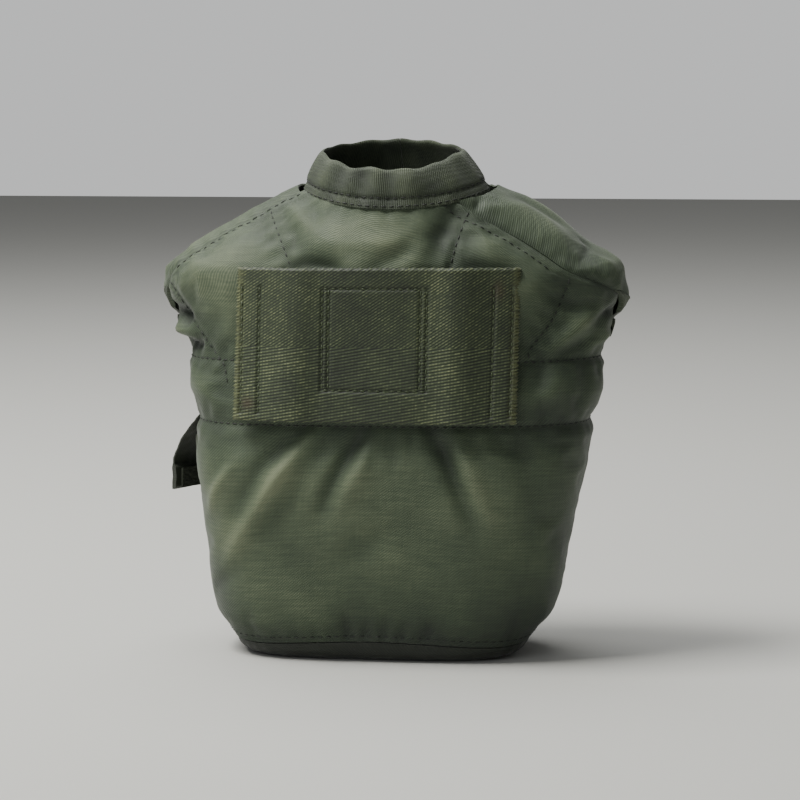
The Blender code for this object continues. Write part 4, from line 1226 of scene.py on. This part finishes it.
def makePile():  # the lining of the back, the front and the base
    def spare(z):  # at the shoulders the lining stops short of the seam
        return 0.003 + 0.06 * ease(126, 142, z)

    def lining(name, node, low, high, start, end, cell):
        rows, columns = int((high - low) / cell), 84
        z = np.linspace(low, high, rows)
        turn = np.array([evenAngles(start(v), end(v), v, columns) for v in z])
        points, normals = wallPoint(turn, z[:, None])
        points[..., 2] -= seamDip(turn, z[:, None]) * ease(60, 120, z[:, None])
        relief = np.minimum(0, quiltRelief(points)[0] - 0.8) + np.minimum(0, foldRelief(points))
        fuzz = 0.4 * noiseAt(points, 3.0) + 0.35 * noiseAt(points, 9.0, 2.0)
        outer = points - normals * (2.4 - relief)[..., None]
        inner = outer - normals * (3.0 + fuzz)[..., None]
        piece = plate(name, outer, inner, pileLining)
        seated(piece, node, "pile_lining")

    low = body["seamHeight"] + 3.4
    lining("backPile", "back_lining", low, body["neckHeight"] - 5, lambda z: seamAngle("left", z) + spare(z),
           lambda z: seamAngle("right", z) - spare(z), 2.6)
    lining("frontPile", "front_lining", low, body["frontTop"] - 0.5,
           lambda z: angleAtDepth(seamDepth("right", z) + 0.2, z),
           lambda z: np.pi - angleAtDepth(seamDepth("left", z) + 0.2, z), 2.6)
    turns = 120
    turn = np.linspace(-np.pi, np.pi, turns, endpoint=False)
    ring = wallPoint(turn, np.full(turns, body["seamHeight"]))[0]
    shares = np.array([0.05, 0.3, 0.55, 0.75, 0.92, 1.0])
    inside = ring * (1 - 10.5 / np.linalg.norm(ring * np.array([1, 1, 0]), axis=1, keepdims=True))
    lower = np.stack([inside * np.array([share, share, 0]) + np.array([0, 0, 2.4]) for share in shares])
    upper = lower + np.array([0, 0, 2.9])
    upper[..., 2] += 0.45 * noiseAt(upper, 5.0)
    count = lower.shape[0] * turns
    points = np.concatenate([lower.reshape(-1, 3), upper.reshape(-1, 3), [[0, 0, 2.4], [0, 0, 5.3]]])
    faces = []
    for j in range(len(shares) - 1):
        for i in range(turns):
            a, b = j * turns + i, j * turns + (i + 1) % turns
            faces.append((a, b, b + turns, a + turns))
            faces.append((a + turns + count, b + turns + count, b + count, a + count))
    last = (len(shares) - 1) * turns
    for i in range(turns):
        after = (i + 1) % turns
        faces.append((last + i, last + after, last + after + count, last + i + count))
        faces.append((after, i, 2 * count))
        faces.append((i + count, after + count, 2 * count + 1))
    faces = [tuple(reversed(f)) for f in faces]
    piece = makePiece("basePile", points, faces, points[:, :2], None, pileLining)
    seated(piece, "base_lining", "pile_lining")
    print("pile linings")


# the tablet pocket on the left of the front, and its flap, which hangs open
pocketLook = {"angle": 27.0, "spread": 19.0, "bottom": 32.0, "height": 46.0, "depth": 7.5, "flapTop": 90.0,
              "flapLength": 35.0, "flapReach": 17.5, "hem": 9.5, "tape": 9.0}


def pocketAngle(u):
    return np.pi - np.radians(pocketLook["angle"] + (u - 0.5) * 2 * pocketLook["spread"])


def pocketBulge(u, z):
    across = ease(0.0, 0.28, u) * (1 - ease(0.72, 1.0, u))
    return pocketLook["depth"] * across * ease(0.0, 0.3, (z - pocketLook["bottom"]) / pocketLook["height"])


def makePocket():
    def layer(name, node, slot, finish, u0, u1, z0, z1, lift, thick, rows, columns):
        u, z = np.meshgrid(np.linspace(u0, u1, columns), np.linspace(z0, z1, rows))
        points, normals = wallPoint(pocketAngle(u), z)
        relief = quiltRelief(points)[0] * 0.6
        wrinkle = 0.5 * noiseAt(points, 9.0, 5.0) * ease(0, 0.1, np.minimum(u, 1 - u))
        edge = ease(0, 0.03, np.minimum(u - u0, u1 - u)) * ease(0, 1.2, np.minimum(z - z0, z1 - z))
        out = 0.4 + relief + pocketBulge(u, z) + wrinkle + lift
        outer = points + normals * (out + thick - 0.3 * (1 - edge))[..., None]
        inner = points + normals * out[..., None]
        # painted light and shade: paler on the wrinkles' ridges, darker in their hollows
        piece = plate(name, outer, inner, finish, values={"relief": wrinkle * 1.5})
        seated(piece, node, slot)
        return piece

    top = pocketLook["bottom"] + pocketLook["height"]
    pouch = layer("tabletPocket", "tablet_pocket", "shell_cloth", shellCloth, 0, 1, pocketLook["bottom"], top,
                  0.0, 0.8, 50, 60)
    mouth = layer("pocketBinding", "pocket_binding", "edge_tape", collarTape, 0, 1, top - pocketLook["tape"],
                  top + 0.4, 0.9, 0.8, 12, 80)
    loops = layer("pocketLoopTape", "pocket_loop_tape", "hook_and_loop", hookNylon, 0.3, 0.7,
                  top - pocketLook["tape"] * 2.8, top - pocketLook["tape"] * 1.2, 0.9, 1.2, 14, 30)


def pocketRoot(u):
    points, normals = wallPoint(pocketAngle(mix(0.06, 0.94, u)), np.full_like(u, pocketLook["flapTop"]))
    return points + normals * 1.3


def makePocketFlap():
    ends = pocketRoot(np.array([0.0, 0.5, 1.0]))
    axis = (ends[2] - ends[0]) / np.linalg.norm(ends[2] - ends[0])
    outwards = np.cross(axis, [0, 0, 1])
    outwards /= np.linalg.norm(outwards)
    if outwards[0] > 0:
        outwards = -outwards
    columns, rows = 70, 60

    def hang(u, v):
        root = pocketRoot(u)
        bow = pocketLook["flapReach"] * np.sin(np.minimum(1.0, v * 1.25) * np.pi / 2)
        flatten = (ends[1] - root) @ outwards * ease(0.0, 0.6, v)
        place = root + outwards * (bow + flatten)[..., None]
        place[..., 2] -= pocketLook["flapLength"] * v
        return place

    u, v = np.meshgrid(np.linspace(0, 1, columns), np.linspace(0, 1, rows))
    place = hang(u, v)
    wave = 0.55 * noiseAt(place, 8.0, 1.0) * ease(0, 0.15, v)
    wave = wave + 0.25 * noiseAt(place, 3.0, 6.0) * ease(0, 0.2, v)
    hemStart = 1 - pocketLook["hem"] / pocketLook["flapLength"]
    hem = ease(hemStart - 0.02, hemStart + 0.02, v)
    thick = 0.8 + 1.6 * hem * (1 - ease(0.97, 1.0, v) * 0.6)
    sideFray = 0.5 * noiseAt(place, 2.2, 9.0) * (1 - ease(0, 0.06, np.minimum(u, 1 - u)))
    place = place + axis * sideFray[..., None]
    place[..., 2] += 0.9 * (u - 0.3) * v
    outer = place + outwards * wave[..., None]
    inner = outer - outwards * thick[..., None]
    # the pocket flap in the darker copy of the cloth, painted shade
    # the relief attribute paints its waves paler on their ridges and darker in their hollows, as painted
    # light and shade
    piece = plate("pocketFlap", outer, inner, shadedFlapCloth, values={"relief": wave})
    seated(piece, "pocket_flap", "shell_cloth", "pocket_cover")
    u, v = np.meshgrid(np.linspace(0.1, 0.9, 30), np.linspace(hemStart + 0.03, 0.98, 8))
    place = hang(u, v)
    place[..., 2] += 0.9 * (u - 0.3) * v
    outer = place - outwards * 2.75
    inner = outer - outwards * 1.1
    tape = plate("pocketHookTape", outer, inner, hookNylon, values={"relief": 0 * u})
    seated(tape, "pocket_hook_tape", "hook_and_loop", "pocket_cover")
    print("tablet pocket")


def makeEdgeBinding():  # the tape that binds the front panel's top edge
    low, high = body["frontTop"] - 5.0, body["frontTop"] + 1.6
    rows, columns = 14, 200
    z = np.linspace(low, high, rows)
    turn = np.array([evenAngles(angleAtDepth(seamDepth("right", v) + 1, v),
                                np.pi - angleAtDepth(seamDepth("left", v) + 1, v), v, columns) for v in z])
    points, normals = wallPoint(turn, z[:, None])
    relief = quiltRelief(points)[0]
    up = np.linspace(0, 1, rows)[:, None]
    out = 0.15 + 0.35 * (1 - (2 * up - 1) ** 4) + 0.15 * np.sin(np.linspace(0, 260, columns))[None, :]
    outer = points + normals * (relief + out)[..., None]
    fold = ease(0.55, 0.75, up) * 5.5
    inner = outer - normals * (0.5 + fold)[..., None]
    # painted light and shade: paler where the binding bulges, darker at its edges and between its ripples
    piece = plate("frontEdgeBinding", outer, inner, collarTape, values={"relief": out - 0.3})
    seated(piece, "front_edge_binding", "edge_tape")
    print("front edge binding")


bandLook = {"low": 90.0, "high": 112.0, "sink": 1.0, "thickness": 1.3, "tape": 0.8, "tapeHeight": 8.0}


def makeInnerBands():  # the band that the belt webbing is sewn to, and the tape over the base seam
    def inner(name, node, slot, finish, low, high, start, end, sink, thickness, columns):
        z = np.linspace(low, high, 16)
        turn = np.array([evenAngles(start(v), end(v), v, columns) for v in z])
        points, normals = wallPoint(turn, z[:, None])
        relief = np.minimum(0, quiltRelief(points)[0] - 0.8) + np.minimum(0, foldRelief(points))
        outer = points - normals * (sink - relief)[..., None]
        weave = floats(turn * 60, z[:, None] + 0 * turn, beltLook)
        shown = {"weave": weave, "relief": 0 * turn}
        return seated(plate(name, outer, outer - normals * thickness, finish, values=shown), node, slot)

    band = inner("backBand", "back_band", "nylon_webbing", strapNylon, bandLook["low"], bandLook["high"],
                 lambda z: angleAtDepth(-9.5, z), lambda z: -np.pi - angleAtDepth(-9.5, z), bandLook["sink"],
                 bandLook["thickness"], 150)
    low = panelLook["bottom"] + 0.4
    high = low + bandLook["tapeHeight"]
    tape = inner("baseSeamTape", "base_seam_binding", "edge_tape", collarTape, low, high,
                 lambda z: -np.pi * 0.999, lambda z: np.pi * 0.999, 1.1, bandLook["tape"], 240)
    print("inner bands")


# pressed brass snaps: heights are measured out from the front panel
snapLook = {
    "x": 32.0,
    "height": 94.0,
    "capFoot": 6.7,
    "capRadius": 7.4,
    "socketFoot": 2.0,
    "socketRadius": 6.4,
    "studFoot": 0.3,
    "studRadius": 6.4,
    "postFoot": -2.2,
    "postRadius": 5.0,
}


def disc(name, foot, radius, depth, place, turn):  # a round blank, standing on the wall at one height
    bpy.ops.object.select_all(action="DESELECT")
    middle = place @ Vector((0, 0, (foot + depth / 2) / 1000))
    bpy.ops.mesh.primitive_cylinder_add(vertices=48, radius=radius / 1000, depth=depth / 1000,
                                        location=middle, rotation=turn)
    made = bpy.context.object
    made.name = name
    return made


def pressed(made, insets):  # each inset: how far in, and how far it is pressed along the axis, in mm
    bpy.ops.object.mode_set(mode="OBJECT")
    axis = made.matrix_world.to_3x3() @ Vector((0, 0, 1))
    for face in made.data.polygons:
        face.select = face.normal.z > 0.9
    bpy.ops.object.mode_set(mode="EDIT")
    bpy.ops.mesh.select_mode(type="FACE")
    for inwards, raised in insets:
        bpy.ops.mesh.inset(thickness=inwards / 1000)
        bpy.ops.transform.translate(value=axis * (raised / 1000))
    bpy.ops.object.mode_set(mode="OBJECT")
    bevel = made.modifiers.new("bevel", "BEVEL")
    bevel.width = 0.00022
    bevel.segments = 3
    bevel.limit_method = "ANGLE"
    bevel.angle_limit = math.radians(35)
    bpy.ops.object.modifier_apply(modifier="bevel")
    bpy.ops.object.transform_apply(location=True, rotation=True, scale=True)
    bpy.ops.object.shade_smooth()
    made.data.set_sharp_from_angle(angle=math.radians(50))
    made.data.materials.append(snapBrass)
    return made


def makeSnaps():
    look = snapLook
    for side, name in ((-1, "left"), (1, "right")):
        turn = angleAtWidth(np.array(look["x"]), np.array(look["height"]), True)
        point, normal = wallPoint(turn, np.array(look["height"]))
        point = leaned(point * np.array([side, 1, 1])) / 1000
        normal = Vector(normal * np.array([side, 1, 1])).normalized()
        turned = normal.to_track_quat("Z", "Y")
        place = Matrix.Translation(Vector(point)) @ turned.to_matrix().to_4x4()
        angles = turned.to_euler()
        tabBody = name + "_tab"
        for part, thickness, insets, bodyName in (
            ("cap", 0.9, ((0.9, 0.5), (2.2, 0.25), (1.2, -0.35), (1.0, -0.1)), tabBody),
            ("socket", 1.2, ((0.8, 0.45), (1.6, 0.1), (0.4, -0.9)), tabBody),
            ("stud", 0.6, ((0.7, 0.2), (2.9, 0.0), (0.1, 0.8)), "cover"),
            ("post", 0.6, ((3.0, 0.0), (0.1, 1.0)), "cover"),
        ):
            made = disc("snap" + part.title() + name.title(), look[part + "Foot"], look[part + "Radius"],
                        thickness, place, angles)
            pressed(made, insets)
            seated(made, "snap_" + part + "_" + name, "black_brass", bodyName)
    print("snaps")


# sewn lines: each stitch is a short arched capsule that dips into the cloth at both ends
threadLook = {"pitch": 3.1, "length": 2.35, "radius": 0.24, "sides": 6}


def surfaceOf(piece):
    mesh = piece.data
    points = np.zeros(len(mesh.vertices) * 3, np.float32)
    mesh.vertices.foreach_get("co", points)
    faces = [tuple(face.vertices) for face in mesh.polygons]
    return BVHTree.FromPolygons([Vector(p) for p in points.reshape(-1, 3)], faces)


def sewn(name, piece, runs, finish, look=threadLook, seed=1):
    # runs: (points, outward directions) in millimetres, in the leaning frame of the pieces
    tree = surfaceOf(piece)
    chance = random.Random(seed)
    rings = ((-0.5, 0.0, -0.9), (-0.34, 0.8, 0.15), (0.0, 1.0, 0.6), (0.34, 0.8, 0.15), (0.5, 0.0, -0.9))
    points, faces = [], []
    sides = look["sides"]
    for line, outwards in runs:
        reach = np.concatenate([[0], np.cumsum(np.linalg.norm(np.diff(line, axis=0), axis=1))])
        count = int(reach[-1] / look["pitch"])
        spots = []
        for k in range(count * 2 + 1):
            at = reach[-1] * k / max(1, count * 2)
            place = np.array([np.interp(at, reach, line[:, c]) for c in range(3)])
            away = Vector([np.interp(at, reach, outwards[:, c]) for c in range(3)]).normalized()
            hit, normal, _, _ = tree.ray_cast(Vector(place / 1000) + away * 0.012, -away, 0.03)
            spots.append((np.array(hit) * 1000, normal) if hit else None)
        for k in range(1, count * 2, 2):
            if not (spots[k] and spots[k - 1] and spots[k + 1]):
                continue
            centre, normal = spots[k]
            axis = Vector(spots[k + 1][0] - spots[k - 1][0]).normalized()
            axis = Vector(axis) + Vector([chance.uniform(-0.06, 0.06) for _ in range(3)])
            length = look["length"] * chance.uniform(0.9, 1.08)
            side = axis.cross(normal).normalized()
            first = len(points)
            for share, thick, lift in rings:
                middle = Vector(centre) + axis * (share * length) + normal * (lift * look["radius"])
                if thick == 0:
                    points.append(middle)
                    continue
                for turn in range(sides):
                    angle = 2 * math.pi * turn / sides
                    spread = side * math.cos(angle) + normal * (math.sin(angle) * 0.75)
                    points.append(middle + spread * (thick * look["radius"]))
            last = first + 1 + 3 * sides
            for turn in range(sides):
                after = (turn + 1) % sides
                faces.append((first, first + 1 + after, first + 1 + turn))
                faces.append((last, first + 1 + 2 * sides + turn, first + 1 + 2 * sides + after))
                for ring in (0, 1):
                    low = first + 1 + ring * sides
                    faces.append((low + turn, low + after, low + sides + after, low + sides + turn))
    made = makePiece(name, np.array([tuple(p) for p in points]), faces, None, None, finish, 180, False)
    bm = bmesh.new()
    bm.from_mesh(made.data)
    bmesh.ops.recalc_face_normals(bm, faces=bm.faces)
    bm.to_mesh(made.data)
    bm.free()
    return made


def wallRun(places, front=False, step=1.5):  # through (x, z) places on the back or the front
    line = along(onWall(smoothLine(places, 8), front), step)
    away = np.tile([0.0, 1.0 if front else -1.0, 0.0], (len(line), 1))
    return leaned(line), away


def seamRun(side, low, high, inset):  # beside the shoulder seam, on the back's side
    z = np.linspace(low, high, 80)
    turn = angleAtDepth(seamDepth(side, z) - inset, z)
    if side == "left":
        turn = -np.pi - turn
    line, normals = wallPoint(turn, z)
    line[:, 2] -= seamDip(turn, z)
    return leaned(line), normals


def ringRun(low, high, start, end, dip=False):  # level round the wall, between two angles
    turn = np.linspace(start, end, 260)
    z = mix(low, high, (np.cos(turn) + 1) / 2)
    line, normals = wallPoint(turn, z)
    if dip:
        line[:, 2] -= seamDip(turn, z)
    return leaned(line), normals


def faceRun(places, front=False):  # straight through (x, z) places, seen square on
    line = along(np.array([(x, 60.0 if front else -60.0, z) for x, z in places]), 1.0)
    line[:, 1] = 40.0 if front else -40.0
    return line, np.tile([0.0, 1.0 if front else -1.0, 0.0], (len(line), 1))


def makeStitching():
    top = body["neckHeight"]
    back = [
        seamRun("left", 144, top - 1, 2.6),
        seamRun("right", 146, top - 1, 2.6),
        wallRun(quilting["leftGusset"]),
        wallRun(quilting["rightGusset"]),
        wallRun(quilting["leftEar"]),
        wallRun(quilting["rightEar"]),
        ringRun(quilting["upperLeft"], quilting["upperRight"], -np.pi, 0.0),
        ringRun(quilting["lowerLeft"], quilting["lowerRight"], -np.pi, 0.0),
        ringRun(body["seamHeight"] + 2.4, body["seamHeight"] + 2.4, -np.pi, 0.0, True),
    ]
    seated(sewn("backStitching", backPiece, back, seamThread), None, "edge_tape")
    front = [
        ringRun(quilting["upperRight"], quilting["upperRight"], 0.05, np.pi - 0.05),
        ringRun(quilting["lowerRight"], quilting["lowerRight"], 0.05, np.pi - 0.05),
        ringRun(body["seamHeight"] + 2.4, body["seamHeight"] + 2.4, 0.05, np.pi - 0.05, True),
    ]
    seated(sewn("frontStitching", frontPiece, front, seamThread, seed=2), None, "edge_tape")
    belt = []
    for (x0, z0), (x1, z1) in beltStitches():
        shift, low = beltLook["shift"], beltLook["bottom"]
        belt.append(faceRun([(x0 + shift, z0 + low), (x1 + shift, z1 + low)]))
    heavy = dict(threadLook, pitch=2.7, length=2.0, radius=0.36)
    seated(sewn("beltStitching", beltPiece, belt, webbingThread, heavy, seed=3), None, "nylon_webbing")
    for side, name in ((-1, "left"), (1, "right")):
        half = strapLook["width"] / 2 - 2.4
        middle = strapLook["x"] * side + body["lean"] * 130
        box = [(middle - half, 154), (middle + half, 154), (middle + half, 134), (middle - half, 134),
               (middle - half, 154)]
        made = sewn(name + "StrapStitching", bpy.data.objects[name + "Strap"], [faceRun(box, True)],
                    webbingThread, seed=5)
        seated(made, None, "nylon_webbing", name + "_flap")
    print("stitching")


makeBase()
makeInnerBands()
for flapName in ("left", "right"):
    makeFlap(flapName)
makeCollar()
beltPiece = makeBelt()
makeStraps()
makePile()
makePocket()
makePocketFlap()
makeEdgeBinding()
makeSnaps()
makeStitching()


# the floor, the lights and the camera
def makeStage():
    bpy.ops.mesh.primitive_plane_add(size=8, location=(0, 0, 0))
    floor = bpy.context.object
    floor.name = "floor"
    made, _, shader = newMaterial("palePaper", 0.9)
    shader.inputs["Base Color"].default_value = hexColour("#c9c9c4")
    floor.data.materials.append(made)


studio = {
    "key": {"place": (-0.62, -0.22, 1.3), "at": (0, 0, 0.1), "size": 0.6, "power": 27.0, "colour": "#fdfcf8"},
    "fill": {"place": (-0.7, -1.2, 0.6), "at": (0, 0, 0.1), "size": 0.9, "power": 2.5, "colour": "#f6f8ff"},
    "back": {"place": (-0.3, 0.7, 1.5), "at": (0, 0.6, 0.0), "size": 1.2, "power": 14.0, "colour": "#ffffff"},
    "world": 0.22,
    "backdrop": 0.8,  # what the lens sees behind the object
}


def makeLights():
    for name in ("key", "fill", "back"):
        facts = studio[name]
        lamp = bpy.data.lights.new(name, "AREA")
        lamp.energy = facts["power"]
        lamp.size = facts["size"]
        lamp.color = hexColour(facts["colour"])[:3]
        holder = bpy.data.objects.new(name, lamp)
        holder.location = facts["place"]
        facing = Vector(facts["at"]) - holder.location
        holder.rotation_euler = facing.to_track_quat("-Z", "Y").to_euler()
        bpy.context.scene.collection.objects.link(holder)
    world = bpy.data.worlds.new("studio")
    world.use_nodes = True
    tree = world.node_tree
    seen = addNode(tree, "ShaderNodeLightPath")
    strength = addNode(tree, "ShaderNodeMapRange", None, {0: seen, 3: studio["world"], 4: studio["backdrop"]})
    tree.nodes["Background"].inputs["Color"].default_value = hexColour("#e9eaea")
    tree.links.new(strength, tree.nodes["Background"].inputs["Strength"])
    bpy.context.scene.world = world


cameraLook = {"azimuth": 7.0, "elevation": 6.5, "distance": 1.1, "lens": 129.0, "aim": (0.0064, 0.0, 0.0958)}


def makeCamera():
    azimuth, elevation = math.radians(cameraLook["azimuth"]), math.radians(cameraLook["elevation"])
    away = Vector((math.sin(azimuth) * math.cos(elevation), -math.cos(azimuth) * math.cos(elevation),
                   math.sin(elevation)))
    camera = bpy.data.objects.new("camera", bpy.data.cameras.new("camera"))
    camera.location = Vector(cameraLook["aim"]) + away * cameraLook["distance"]
    camera.rotation_euler = (-away).to_track_quat("-Z", "Y").to_euler()
    camera.data.lens = cameraLook["lens"]
    camera.data.dof.use_dof = False
    bpy.context.scene.collection.objects.link(camera)
    bpy.context.scene.camera = camera


makeStage()
makeLights()
makeCamera()
